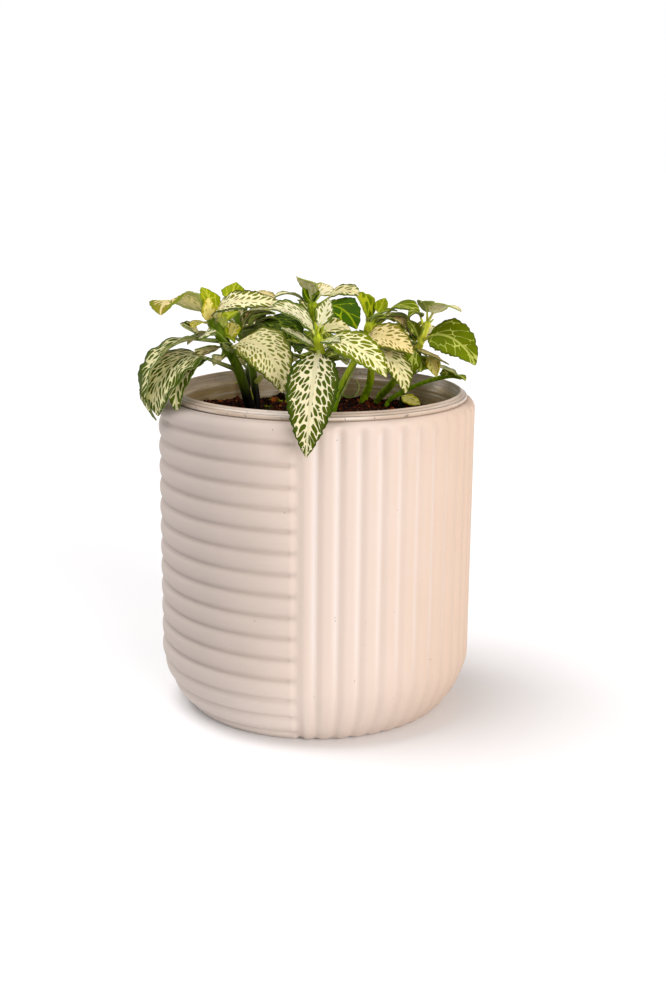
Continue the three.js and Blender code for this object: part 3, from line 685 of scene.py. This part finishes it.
LOOKS = {name: Look(*row) for name, row in {
    "bold": ((210, 202, 166), (66, 80, 6), (44, 62, 3), 0.125, 0.14, 1.2),
    "cream": ((212, 203, 152), (100, 106, 18), (58, 76, 4), 0.19, 0.07, 1.3),
    # A finer-netted copy of the cream look whose lighter nerves and islands are painted light, for
    # a leaf that turns from the lamps
    "fine_lit_cream": ((232, 222, 176), (112, 118, 30), (38, 54, 4), 0.17, 0.08, 1.5),
    "golden": ((234, 222, 170), (130, 134, 46), (66, 80, 8), 0.18, 0.09, 1.55),
    "lace": ((224, 218, 168), (112, 120, 16), (88, 106, 4), 0.13, 0.1, 1.45),
    "white": ((212, 208, 172), (112, 122, 46), (56, 80, 8), 0.18, 0.14, 1.45),
    "tipped": ((220, 200, 142), (132, 124, 34), (104, 118, 20), 0.22, 0.3, 1.4),
    "buff": ((220, 200, 142), (132, 124, 34), (76, 84, 8), 0.22, 0.1, 1.6),
    "grey": ((214, 208, 158), (76, 90, 18), (50, 68, 4), 0.13, 0.1, 1.0),
    # The dark look is painted shade: it darkens leaves that lie in the shade of others
    "dark": ((100, 118, 30), (42, 62, 3), (30, 48, 1), 0.06, 0.2, 1.2),
    "green": ((176, 184, 84), (98, 114, 2), (74, 88, 2), 0.01, 0.1, 0.75),
    "fresh": ((132, 150, 14), (54, 84, 1), (40, 66, 1), 0.01, 0.1, 0.75),
    "lime": ((176, 182, 48), (134, 148, 6), (112, 132, 4), 0.06, 0.1, 1.0),
    "yellow": ((228, 214, 126), (174, 166, 36), (160, 156, 16), 0.2, 0.08, 1.4),
    "netted": ((158, 168, 26), (72, 98, 2), (134, 148, 8), 0.12, 0.14, 0.9),
    "pale": ((222, 212, 176), (172, 168, 104), (126, 138, 40), 0.2, 0.1, 1.4),
}.items()}


@dataclass
class Leaf:
    """A leaf leaves the stem at height z, towards heading and rising by rise, in degrees. After its
    petiole, the blade bends down by bend and swings by turn from base to tip. Roll and twist tip it
    about its midrib, and fold lifts its halves."""
    z: float
    heading: float
    rise: float
    bend: float
    petiole: float
    length: float
    width: float
    look: str
    turn: float = 0
    roll: float = 0
    twist: float = 0
    fold: float = FOLD


def arching(z, heading, length, look="cream", rise=32, bend=78, petiole=4, breadth=0.54):
    """The values of a plain arching leaf at the back of the plant."""
    return z, heading, rise, bend, petiole, length, length * breadth, look


@dataclass
class Stem:
    """A stem's node, radius, path from its foot in the soil, colours at foot and top, and the
    values of its grown leaves and of the young ones that fill the gaps between them."""
    node: str
    radius: float
    path: list
    foot: tuple
    top: tuple
    leaves: list
    young: list = ()


STEMS = [
    Stem("stem_left", 2.4,
         [(-25.6, -2, 118), (-27.2, -3, 125), (-31.5, -6, 140), (-36, -8, 150), (-39.5, -9.5, 157),
          (-43, -10, 163)], (3, 3, 1), (96, 122, 8), [
        (141, 212, 22, 133, 15.8, 38.5, 33, "grey", 6, -3, 3, 5),
        (153, 200, 6, 130, 9.5, 46, 23, "grey", 4, 8, -4, 14),
        (161, 180, 44, 88, 6, 26.5, 18.5, "tipped", 94, 33, -35, 8),
        (161, 134, 86, 58, 2.5, 13, 10, "lime"),
        (161, 255, 26, -130, 3.5, 10, 6, "yellow", 19, -155, 7, 17),
        (156, 208, 8, -26, 9.5, 10, 8.5, "grey", 40, -43, 25, 20),
        (160, 217, 11, 41, 4.5, 8, 7, "yellow", 35),
        (156, 234, 2, -20, 6.5, 15, 7.5, "white", 104, 40, 11),
        (151, 214, -2, -4, 3, 13, 9, "cream", 18, -155, 16, 14),
        # This leaf's look has painted light in its lighter nerves and islands
        (159, 276, 36, 54, 7.5, 40, 10, "fine_lit_cream", 104, 46, 0, 16),
        (150, 52, 82, 80, 3.5, 9.3, 8, "yellow", 20, 8, 10, 10),
        (157, 48, 48, 50, 4.5, 9.5, 7, "lime"),
        (149, 311, 29, 110, 5, 40, 20.5, "golden", -4, 20, 20, 10),
    ], [
        (146, 20, 5, 60, 1.5, 9.3, 4.5, "green"), (125, 180, 109, 110, 1, 13.5, 3, "lime"),
        (149, 211, 60, 20, 1, 11.8, 5, "lime"), (151, 163, 90, 10, 1, 8, 5, "lime"),
        (147, 244, 34, -20, 1, 7.6, 5, "green"), (157, 339, 88, 15, 1, 8.6, 4.5, "yellow"),
        (155, 350, 1, 60, 1, 5.4, 6, "lime"), (156, 301, 79, 30, 1, 6.9, 7, "lime"),
        (150, 246, 42, 40, 1, 6.4, 7, "green"), (141, 228, 20, 128, 15.8, 33, 13, "grey", 6),
    ]),
    Stem("stem_left_back", 1.9,
         [(-25, 5, 118), (-25.5, 5.5, 130), (-28, 8, 145), (-32, 9, 156), (-34, 12, 163)],
         (3, 3, 1), (96, 122, 8), [
        (162.9, 106, 48, 5, 5.5, 9.5, 10, "lime", -50, 0, -12),
        (162.9, 345, 54, 104, 5, 17, 14, "buff", -16, -8, 12, 5),
        (155, 318, 60, 82, 3.5, 19, 11, "cream", 11, 168, -8),
        (154, 325, 36, 43, 2, 9, 9, "green", 10),
        # The dark leaf here is painted shade
        (153, 328, 34, 108, 6.5, 29.5, 18, "dark", -8, 8), (156, 112, 38, 80, 5, 27, 15, "cream"),
        (150, 150, 20, 60, 5, 26, 15, "grey"), (150, 333, 95, 120, 4, 21.8, 9, "pale", 0, 25),
    ], [
        (149, 311, 51, 20, 2, 13.1, 5.5, "lime"), (152, 342, 47, 60, 8, 10.2, 6.5, "green"),
        (133, 314, 33, -40, 1.5, 5, 4, "lime"), (152, 327, 59, 70, 6, 15, 7, "lime"),
        (150, 298, 53, 40, 2, 10.2, 7, "fresh"),
    ]),
    Stem("stem_front", 1.9,
         [(4, -20, 118), (4, -27, 131), (2.5, -34, 144), (1, -37.5, 152), (0, -38, 160)],
         (64, 92, 2), (184, 196, 40), [
        (154, 264, -18, 56, 4, 48.5, 19.5, "bold", -3, -2, -7, 9),
        (157, 315, 10, 68, 4.5, 30.5, 14, "lace", 30, 22, 28, 10),
        (158, 202, 55, 56, 4, 20, 16.5, "white", 5, -34, 14, 10),
        (154, 200, 30, 2, 2.5, 15, 8, "white", 2, -20, -8, 14),
        # The dark leaf here is painted shade
        (153, 201, 21, 64, 4.5, 6.5, 8, "dark", 13),
        (160, 63, 50, 8, 4, 12.2, 8, "white", 12, 18, -4, 14),
        (159, 28, 30, 63, 3.5, 12.5, 10, "cream", 10, 32),
        (156.5, 312, 14, 16, 2.5, 10.5, 8, "white", -8, 20),
        (152, 347, 14, 43, 3, 8.5, 10, "green"), (149, 51, 16, 40, 3, 15.7, 6.5, "green"),
    ], [
        (155, 157, 82, 6, 0.5, 8.9, 4.5, "lime"), (156, 21, 76, 6, 0.5, 7, 4, "lime"),
        (151, 193, 72, 20, 0.5, 8.5, 4.5, "lime"), (150, 142, 35, 50, 3, 12.2, 6, "green"),
        (147, 38, 22, 50, 4, 8.5, 8, "green"), (151, 151, 33, 30, 2, 13.8, 7, "green"),
        (148, 182, 60, 40, 1, 8.4, 8, "green"), (149, 2, 60, 20, 1, 6.6, 6, "green"),
    ]),
    Stem("stem_middle", 1.8,
         [(3, 14, 118), (0, 12, 135), (-1, 8, 152), (-2, 4, 162), (-2, 2, 168)],
         (64, 92, 2), (156, 176, 30), [
        (167, 228, 68, 48, 4, 11, 11.5, "pale", -2, -4, -6, 14),
        (167, 30, 44, 36, 5, 7, 9.5, "pale", 14, 25, 2, 9),
        (167, 223, 38, -39, 2.5, 6.5, 6, "fresh", 0, -70),
        (167, 307, 70, 59, 1.5, 6, 6, "fresh", 0, 73), (165, 197, 41, 70, 5.5, 14, 7, "grey", 19),
        (165, 350, 35, 60, 9, 14, 10, "cream", -40, 20, 8),
        (164, 314, 17, 76, 7.8, 21.5, 13.5, "fresh", -5, 20, 12, 12),
        (160, 85, 30, 75, 5, 28, 16, "cream"),
    ], [
        (158, 326, -29, 60, 4, 13.5, 8, "green"), (152, 234, 12, 50, 4, 6.3, 8, "fresh"),
    ]),
    Stem("stem_right_front", 1.7, [(6, -6, 118), (9, -8, 133), (15, -9, 146), (18, -8, 154)],
         (120, 156, 10), (176, 194, 44), [
        (153, 307, 24, 67, 3.3, 24.6, 14, "buff", 34, 38, 3, 16),
        (149, 316, 8, 91, 8, 26.5, 14, "cream", -8, 2, 8, 7),
    ], [
        (127, 349, 61, -8, 1, 20.8, 5, "green"), (133, 348, -53, -190, 1, 14, 2.6, "fresh"),
    ]),
    Stem("stem_right", 1.9,
         [(20.5, 36, 118), (23, 30, 131), (23, 22, 143), (21.5, 14, 152), (21, 8, 159)],
         (146, 178, 14), (204, 214, 52), [
        (155, 200, 80, 32, 4, 13.5, 15, "netted", 4, -40, -6, 26),
        (157, 20, 53, -20, 7.2, 6.8, 9, "lime", 8, 14),
        (156, 352, 41, 88, 11.5, 13.8, 13.5, "green", -18, 3, 12, 9),
        (154, 346, 48, 128, 5.5, 18.8, 12.5, "buff", -12, 3, 5, 9),
        (146, 75, 25, 80, 5, 33, 18, "grey"), (156, 348, 68, 80, 2, 13.8, 8, "lime"),
    ], [
        (155, 355, 36, 70, 9, 10.4, 8, "green"), (153, 312, 64, 60, 5, 9.3, 9, "lime"),
        (154, 329, 48, 80, 6, 9.1, 8, "lime"), (150, 320, 44, 70, 6, 15.3, 8, "green"),
        (157, 1, 48, 50, 5, 8.7, 6, "lime"),
    ]),
    Stem("stem_far_right", 1.8,
         [(27, 38, 118), (32, 28, 130), (38, 14, 142), (42, 2, 151), (45, -1, 161)],
         (138, 170, 14), (222, 226, 76), [
        (149, 289, -6, 12, 1.2, 20, 7.5, "buff", 36, -8, -10, 6),
        (149, 310, -24, 22, 7, 12, 6, "yellow", -44, 28, 13),
        (160, 299, 48, 81, 5.8, 16, 11, "pale", 35, -12, 8, 6),
        (160, 239, 86, 92, 4.5, 8, 8, "green"),
        (152, 303, 24, 87, 6.5, 29, 15.5, "green", 24, 49, 5, 10),
        (146, 295, -8, 30, 3.2, 12.5, 8, "green", -42, -3, -5),
        (157, 198, 71, 138, 5.5, 6.5, 10.5, "green"), (152, 60, 25, 80, 5, 32, 18, "cream"),
        (149, 252, -12, 110, 3, 12.1, 8, "green"),
    ], [
        (151, 131, 65, 40, 3, 9.8, 7, "green"), (150, 126, 45, 70, 3, 6.6, 6, "fresh"),
        (148, 218, 47, 60, 3, 4.8, 8, "green"), (153, 344, 69, 20, 1, 8.9, 6, "lime"),
    ]),
    Stem("stem_twig", 1.1,
         [(30, 25, 118), (35, 22, 127), (46, 15, 133.5), (55, 8, 137), (60, 2, 137.2)],
         (118, 152, 14), (140, 168, 18), [
        (127, 333, -27, -17, 1.8, 9.2, 7, "yellow", -6, 25),
        (136, 293, 26, -3, 3, 9, 6, "green", -72, -179),
        (137, 306, 10, 26, 3, 10, 4, "green", -24),
    ]),
    Stem("stem_back_left", 1.8, [(-31, 36, 118), (-30, 38, 132), (-28, 40, 148)],
         (24, 30, 8), (124, 146, 40), [
        arching(147, 100, 32), arching(147, 170, 20, "white"), arching(141, 50, 24, "grey"),
        arching(141, 230, 16, "green"), arching(134, 80, 29, "grey"), arching(134, 130, 25),
    ]),
    Stem("stem_back_middle", 1.8, [(-2, 36, 118), (-1, 40, 132), (0, 43, 148)],
         (40, 56, 12), (140, 160, 44), [
        arching(147, 88, 30, "bold"), arching(147, 268, 20, "green"), arching(141, 15, 22, "cream"),
        arching(141, 165, 18), arching(134, 60, 28, "grey"), arching(134, 115, 26, "green"),
    ]),
    Stem("stem_back_right", 1.8, [(37, 26, 118), (38, 29, 132), (38, 32, 146)],
         (40, 56, 12), (140, 160, 44), [
        arching(145, 60, 28), arching(145, 240, 12, "green"), arching(139, 130, 22, "cream"),
        arching(132, 25, 25, "grey"), arching(132, 90, 27, "bold"),
    ]),
]


class Growth:
    """Points and faces of a leafy stem, gathered part by part, with what its finishes read."""
    marks = {"place": "FLOAT_VECTOR", "share": "FLOAT_VECTOR", "net": "FLOAT_VECTOR",
             "vein": "FLOAT_COLOR", "leaf": "FLOAT_COLOR", "margin": "FLOAT_COLOR"}

    def __init__(self):
        self.points = []
        self.faces = []
        self.finishes = []
        self.values = {name: [] for name in self.marks}
        self.count = 0

    def add(self, points, faces, finish, **values):
        self.points.append(points)
        self.faces += [tuple(self.count + i for i in face) for face in faces]
        self.finishes += [finish] * len(faces)
        for name, kind in self.marks.items():
            nothing = np.zeros(4 if kind == "FLOAT_COLOR" else 3)
            given = np.asarray(values.get(name, nothing), dtype=float)
            self.values[name].append(np.broadcast_to(given, (len(points), given.shape[-1])))
        self.count += len(points)

    def piece(self, name, materials):
        made = new_piece(name, np.vstack(self.points), self.faces)
        for material in materials:
            made.data.materials.append(material)
        made.data.polygons.foreach_set("material_index", self.finishes)
        for key, kind in self.marks.items():
            mark(made, key, np.vstack(self.values[key]), kind)
        return made


def leaf_direction(leaf, share):
    """Unit vectors along the blade and level across it, at shares of its length."""
    rise = np.radians(leaf.rise - leaf.bend * share)
    heading = np.radians(leaf.heading + leaf.turn * share)
    along = np.stack([np.cos(rise) * np.cos(heading), np.cos(rise) * np.sin(heading),
                      np.sin(rise)], -1)
    level = np.stack([-np.sin(heading), np.cos(heading), np.zeros_like(heading)], -1)
    return along, level


def side_vein_phase(along, out):
    """How far the side vein through a point starts up the midrib, on numbers or on sockets."""
    return along - out * SIDE_VEIN_SLANT - out * out * SIDE_VEIN_CURVE


def blade_sheet(leaf, base, seed):
    """Middle surface of a blade as a grid of points, with its normals and the values to mark."""
    rows = int(np.clip(leaf.length / ROW_STEP, *ROW_LIMITS))
    columns = 2 * int(np.clip(leaf.width / COLUMN_STEP / 2, *COLUMN_LIMITS))
    share = np.linspace(0, 1, rows + 1)
    middles = (share[:-1] + share[1:]) / 2
    steps = leaf_direction(leaf, middles)[0] * leaf.length / rows
    middle = base + np.vstack([np.zeros(3), np.cumsum(steps, axis=0)])
    along, level = leaf_direction(leaf, share)
    square = np.cross(along, level)
    roll = np.radians(leaf.roll + leaf.twist * share)[:, None]
    side = level * np.cos(roll) + square * np.sin(roll)
    normal = square * np.cos(roll) - level * np.sin(roll)
    length_mm = share * leaf.length
    teeth = 1 - np.abs(2 * ((length_mm / TOOTH_PITCH + 0.3 * seed) % 1) - 1)
    smooth_half = leaf.width / 2 * np.sin(pi * share ** OUTLINE_POWER) ** OUTLINE_POWER
    lobes = np.abs(np.sin(pi * (length_mm / LOBE_PITCH + 0.37 * seed)))
    ragged = TOOTH_DEPTH * (teeth - 0.5) + LOBE_DEPTH * (lobes - 0.6)
    half = np.maximum(smooth_half + ragged * np.minimum(smooth_half / 5, 1), LEAST_HALF_WIDTH)
    across = np.linspace(-1, 1, columns + 1)
    across = np.sign(across) * np.abs(across) ** 0.85
    across_mm = half[:, None] * across
    fold = radians(leaf.fold)
    rounded = np.sqrt(across ** 2 + 0.01) - 0.1
    waves_passed = length_mm[:, None] / EDGE_WAVE_LENGTH
    wave = np.sin(2 * pi * waves_passed + np.sign(across) * 1.1 + seed) * across ** 2
    veins_passed = side_vein_phase(length_mm[:, None], np.abs(across_mm)) / SIDE_VEIN_PITCH
    quilt = (0.5 - 0.5 * np.cos(2 * pi * veins_passed)) * 4 * np.abs(across) * (1 - np.abs(across))
    quilt_depth = QUILT_DEPTH * min(leaf.width / FULL_QUILT_WIDTH, 1)
    lift = half[:, None] * (rounded * sin(fold) + EDGE_WAVE * wave) + quilt_depth * quilt
    points = (middle[:, None] + side[:, None] * (across_mm * cos(fold))[..., None]
              + normal[:, None] * lift[..., None])

    def spread(values):
        return np.broadcast_to(values, across_mm.shape)

    place = np.stack([spread(length_mm[:, None]), across_mm, spread(seed)], -1)
    edge = np.stack([spread(share[:, None]), spread(np.abs(across)), spread(0.0)], -1)
    return points, np.broadcast_to(normal[:, None], points.shape), place, edge


def add_blade(growth, leaf, base, seed):
    """A thin closed blade: the upper and the lower side of its sheet, sewn together at the edge."""
    points, normal, place, edge = blade_sheet(leaf, base, seed)
    rows, columns = points.shape[0] - 1, points.shape[1] - 1
    upper = (points + normal * BLADE_THICKNESS / 2).reshape(-1, 3)
    lower = (points - normal * BLADE_THICKNESS / 2).reshape(-1, 3)
    width = columns + 1
    below = len(upper)
    faces = []
    for i in range(rows):
        for j in range(columns):
            a, b = i * width + j, (i + 1) * width + j
            faces.append((a, b, b + 1, a + 1))
            faces.append((below + a, below + a + 1, below + b + 1, below + b))
    around = [i * width for i in range(rows)] + [rows * width + j for j in range(columns)]
    around += [i * width + columns for i in range(rows, 0, -1)] + [*range(columns, 0, -1)]
    for k, here in enumerate(around):
        after = around[(k + 1) % len(around)]
        faces.append((here, below + here, below + after, after))
    under = edge.copy()
    under[..., 2] = 1
    look = LOOKS[leaf.look]
    growth.add(
        np.vstack([upper, lower]), faces, BLADE,
        place=np.vstack([place.reshape(-1, 3)] * 2),
        share=np.vstack([edge.reshape(-1, 3), under.reshape(-1, 3)]),
        net=(look.width, look.border, look.scale),
        vein=colour(*look.vein), leaf=colour(*look.leaf), margin=colour(*look.margin))


def add_rod(growth, path, radii, tints, sides=STEM_SIDES):
    """A round rod along a path, closed at both ends, with one tint for each point of the path."""
    path = np.asarray(path, dtype=float)
    tangent = np.gradient(path, axis=0)
    tangent /= np.linalg.norm(tangent, axis=1)[:, None]
    guide = np.where(np.abs(tangent[:, 2:]) > 0.8, (1.0, 0, 0), (0, 0, 1.0))
    side = np.cross(guide, tangent)
    side /= np.linalg.norm(side, axis=1)[:, None]
    other = np.cross(tangent, side)
    turn = np.linspace(0, 2 * pi, sides, endpoint=False)
    spokes = side[:, None] * np.cos(turn)[:, None] + other[:, None] * np.sin(turn)[:, None]
    rings = path[:, None] + spokes * np.asarray(radii)[:, None, None]
    points = np.vstack([rings.reshape(-1, 3), path[:1], path[-1:]])
    shades = np.repeat(np.asarray(tints), sides, axis=0)
    growth.add(points, tube_faces(len(path), sides), STALK,
               leaf=np.vstack([shades, shades[:1], shades[-1:]]))


def smooth_path(points, steps=8):
    """A rounded path through points (Catmull-Rom)."""
    points = np.asarray(points, dtype=float)
    padded = np.vstack([2 * points[0] - points[1], points, 2 * points[-1] - points[-2]])
    t = np.linspace(0, 1, steps, endpoint=False)[:, None]
    parts = []
    for a, b, c, d in zip(padded, padded[1:], padded[2:], padded[3:]):
        parts.append(0.5 * (2 * b + (c - a) * t + (2 * a - 5 * b + 4 * c - d) * t ** 2
                            + (3 * b - a - 3 * c + d) * t ** 3))
    return np.vstack([*parts, points[-1:]])


def blend_tints(low, high, share):
    share = np.clip(share, 0, 1)[:, None]
    return np.array(colour(*low)) * (1 - share) + np.array(colour(*high)) * share


def stem_point(stem, z):
    """The point of a stem at a height."""
    path = np.array(stem.path, dtype=float)
    return np.array([np.interp(z, path[:, 2], path[:, axis]) for axis in range(3)])


def grow(stem, seed):
    """The whole node: the stem standing in the soil, and each leaf with its stalk."""
    growth = Growth()
    foot_x, foot_y, _ = stem.path[0]
    path = smooth_path([(foot_x, foot_y, SOIL_TOP - STEM_DEPTH),
                        (foot_x, foot_y, SOIL_TOP + STEM_COLLAR), *stem.path[1:]])
    radii = stem.radius * (1 - STEM_TAPER * np.linspace(0, 1, len(path)))
    for z, *_ in stem.leaves:
        radii *= 1 + JOINT_SWELLING * np.exp(-((path[:, 2] - z) / JOINT_LENGTH) ** 2)
    radii[-1] *= 0.5
    climb = (path[:, 2] - SOIL_TOP - DARK_FOOT) / DARK_FOOT_FADE
    add_rod(growth, path, radii, blend_tints(stem.foot, stem.top, climb))
    for k, values in enumerate([*stem.leaves, *stem.young]):
        leaf = Leaf(*values)
        root = stem_point(stem, leaf.z)
        along = leaf_direction(leaf, np.array([0.0]))[0][0]
        base = root + along * leaf.petiole
        add_blade(growth, leaf, base, (seed + SEED_STEP * k) % SEED_RANGE)
        end = base + along * min(leaf.length * STALK_SHARE, STALK_REACH)
        radius = min(STALK_RADII[0] + leaf.width / WIDTH_PER_STALK_RADIUS, STALK_RADII[1])
        shares = np.linspace(0, 1, STALK_RINGS)
        tints = blend_tints(stem.top, LOOKS[leaf.look].vein, shares * STALK_BLEND)
        add_rod(growth, root + (end - root) * shares[:, None],
                radius * (1 - STALK_TAPER * shares), tints, STALK_SIDES)
    return growth


def blade_finish():
    material, tree, feed = new_finish("nerve_leaf", Roughness=0.55, Specular_IOR_Level=0.04,
                                      Subsurface_Weight=0.12, Subsurface_Scale=0.002)
    along, across, seed = tree.split(tree.attribute("place"))
    share, edge, under = tree.split(tree.attribute("share"))
    vein_width, border, scale = tree.split(tree.attribute("net"))
    out = abs(across)
    half = tree.math("SIGN", across)
    own_place = tree.combine(along, across, seed)
    wobble = tree.noise(own_place, 0.45)
    stray = wobble - 0.5
    # The net's cells lie along the side veins, and differ from half to half and leaf to leaf
    net_place = tree.combine(
        (side_vein_phase(along, out) + stray * NET_WANDER) / SIDE_VEIN_PITCH * scale,
        (out + stray * NET_WANDER_OUT) / CELL_LENGTH * scale + half * 9 + seed * 3.7)
    to_cell_edge, to_cell_middle = [
        tree.read("ShaderNodeTexVoronoi",
                  {"Vector": net_place, "Scale": 1.0, "Randomness": CELL_RANDOMNESS},
                  {"feature": feature, "voronoi_dimensions": "2D"}, "Distance")
        for feature in ("DISTANCE_TO_EDGE", "F1")]
    island = to_cell_edge * (1 - CELL_ROUNDNESS) + (0.5 - to_cell_middle) * CELL_ROUNDNESS
    # The nerves thin out towards the edge and end before the margin, which is wider at the tip
    rim = tree.math("MAXIMUM", edge, share * 1.05 - 0.19)
    reach = 1 - tree.smooth(rim + stray * 0.25, 0.72 - border, 1.03 - border)
    line = vein_width * reach * (1.25 - edge * 0.5)
    net = 1 - tree.smooth(island, line * 0.75, line * 1.2 + vein_width * 0.14 + 0.012)
    net = net * tree.smooth(reach, 0.0, 0.12)
    middle_width = 0.15 + (1 - share) * (0.25 + vein_width * 4)
    middle = 1 - tree.smooth(out, middle_width, middle_width + 0.35)
    nerves = tree.math("MAXIMUM", net, middle)
    mottle = tree.noise(own_place, 0.16)
    pale, leaf, margin = [tree.attribute(name, "Color") for name in ("vein", "leaf", "margin")]
    green = tree.mix(tree.smooth(mottle, 0.3, 0.7) * 0.35, leaf, margin)
    green = tree.mix(tree.smooth(edge, 0.9 - border, 1.0), green, margin)
    vein = tree.mix(middle * 0.14, pale, leaf)
    upper = tree.mix(nerves, green, vein)
    # The underside is paler, as the plant's is, and lightened as painted light where it faces down
    # into shade
    lower = tree.mix(0.3, tree.mix(nerves * 0.8, green, vein), colour(*UNDERSIDE_PALE_AND_PAINTED_LIGHT))
    feed("Base Color", tree.mix(under, upper, lower))
    feed("Normal", tree.bump(nerves * -1 + wobble, 0.4 * MM, 0.6))
    return material


def stem_finish():
    material, tree, feed = new_finish("green_stem", Roughness=0.5, Specular_IOR_Level=0.1,
                                      Subsurface_Weight=0.1, Subsurface_Scale=0.002)
    place = tree.read("ShaderNodeTexCoord", output="Object")
    stretched = tree.read("ShaderNodeMapping", {"Vector": place, "Scale": (1, 1, 0.2)})
    streaks = tree.noise(stretched, 900.0)
    tint = tree.attribute("leaf", "Color")
    darker = tree.read("ShaderNodeMix", {0: 1.0, 6: tint, 7: colour(*STREAK_SHADE)},
                       {"data_type": "RGBA", "blend_type": "MULTIPLY"}, 2)
    feed("Base Color", tree.mix(tree.smooth(streaks, 0.4, 0.65), darker, tint))
    feed("Normal", tree.bump(streaks, 0.0003, 0.4))
    return material


foliage_finishes = [blade_finish(), stem_finish()]
for number, stem in enumerate(STEMS):
    leafy_stem = grow(stem, number).piece(stem.node + "_leafy", foliage_finishes)
    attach(leafy_stem, "root")
    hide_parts(stem.node)


# Studio. A white floor that runs off into a white background. A soft light high on the left lays
# the shadow to the right, a low one behind it lights the left edge, a key light stands at the front
# right and a warm one low on the right.
FLOOR_SIZE = 40.0
FLOOR_WHITE = (244, 244, 246)
SKY_LIGHT = 0.45
# Distant soft lights: the side each comes from and its height above the floor, in degrees from the
# front and up, how wide it looks, its strength and its tint
SOFTBOXES = {
    "top_left": (-92, 70, 40, 1.9, (1.0, 0.985, 0.98)),
    "edge_left": (-120, 8, 20, 0.75, (1.0, 0.98, 0.97)),
    "key_right": (31, 14, 40, 2.5, (1.0, 0.97, 0.935)),
    "warm_right": (86, 10, 20, 0.5, (1.0, 0.66, 0.42)),
}


def hang(name, side, height, width, strength, tint):
    data = bpy.data.lights.new(name, "SUN")
    data.angle = radians(width)
    data.energy = strength
    data.color = tint
    light = bpy.data.objects.new(name, data)
    side, height = radians(side), radians(height)
    away = Vector((sin(side) * cos(height), -cos(side) * cos(height), sin(height)))
    light.rotation_euler = away.to_track_quat("Z", "Y").to_euler()
    bpy.context.scene.collection.objects.link(light)


def white_world():
    """A surround that the camera sees as white and that lights the plant more weakly."""
    world = bpy.data.worlds.new("studio")
    bpy.context.scene.world = world
    world.use_nodes = True
    tree = Tree(world.node_tree)
    camera_ray = tree.read("ShaderNodeLightPath", output="Is Camera Ray")
    strength = camera_ray * (1 - SKY_LIGHT) + SKY_LIGHT
    background = world.node_tree.nodes["Background"]
    background.inputs["Color"].default_value = (1, 1, 1, 1)
    world.node_tree.links.new(strength.socket, background.inputs["Strength"])


reach = FLOOR_SIZE / 2 / MM
floor = new_piece("studio_floor", [(-reach, -reach, 0), (reach, -reach, 0), (reach, reach, 0),
                                   (-reach, reach, 0)], [(0, 1, 2, 3)])
floor.data.materials.append(new_finish("studio_floor", Base_Color=colour(*FLOOR_WHITE),
                                       Roughness=0.9, Specular_IOR_Level=0.0)[0])
for name, values in SOFTBOXES.items():
    hang(name, *values)
white_world()
bpy.context.scene.view_settings.view_transform = "Standard"
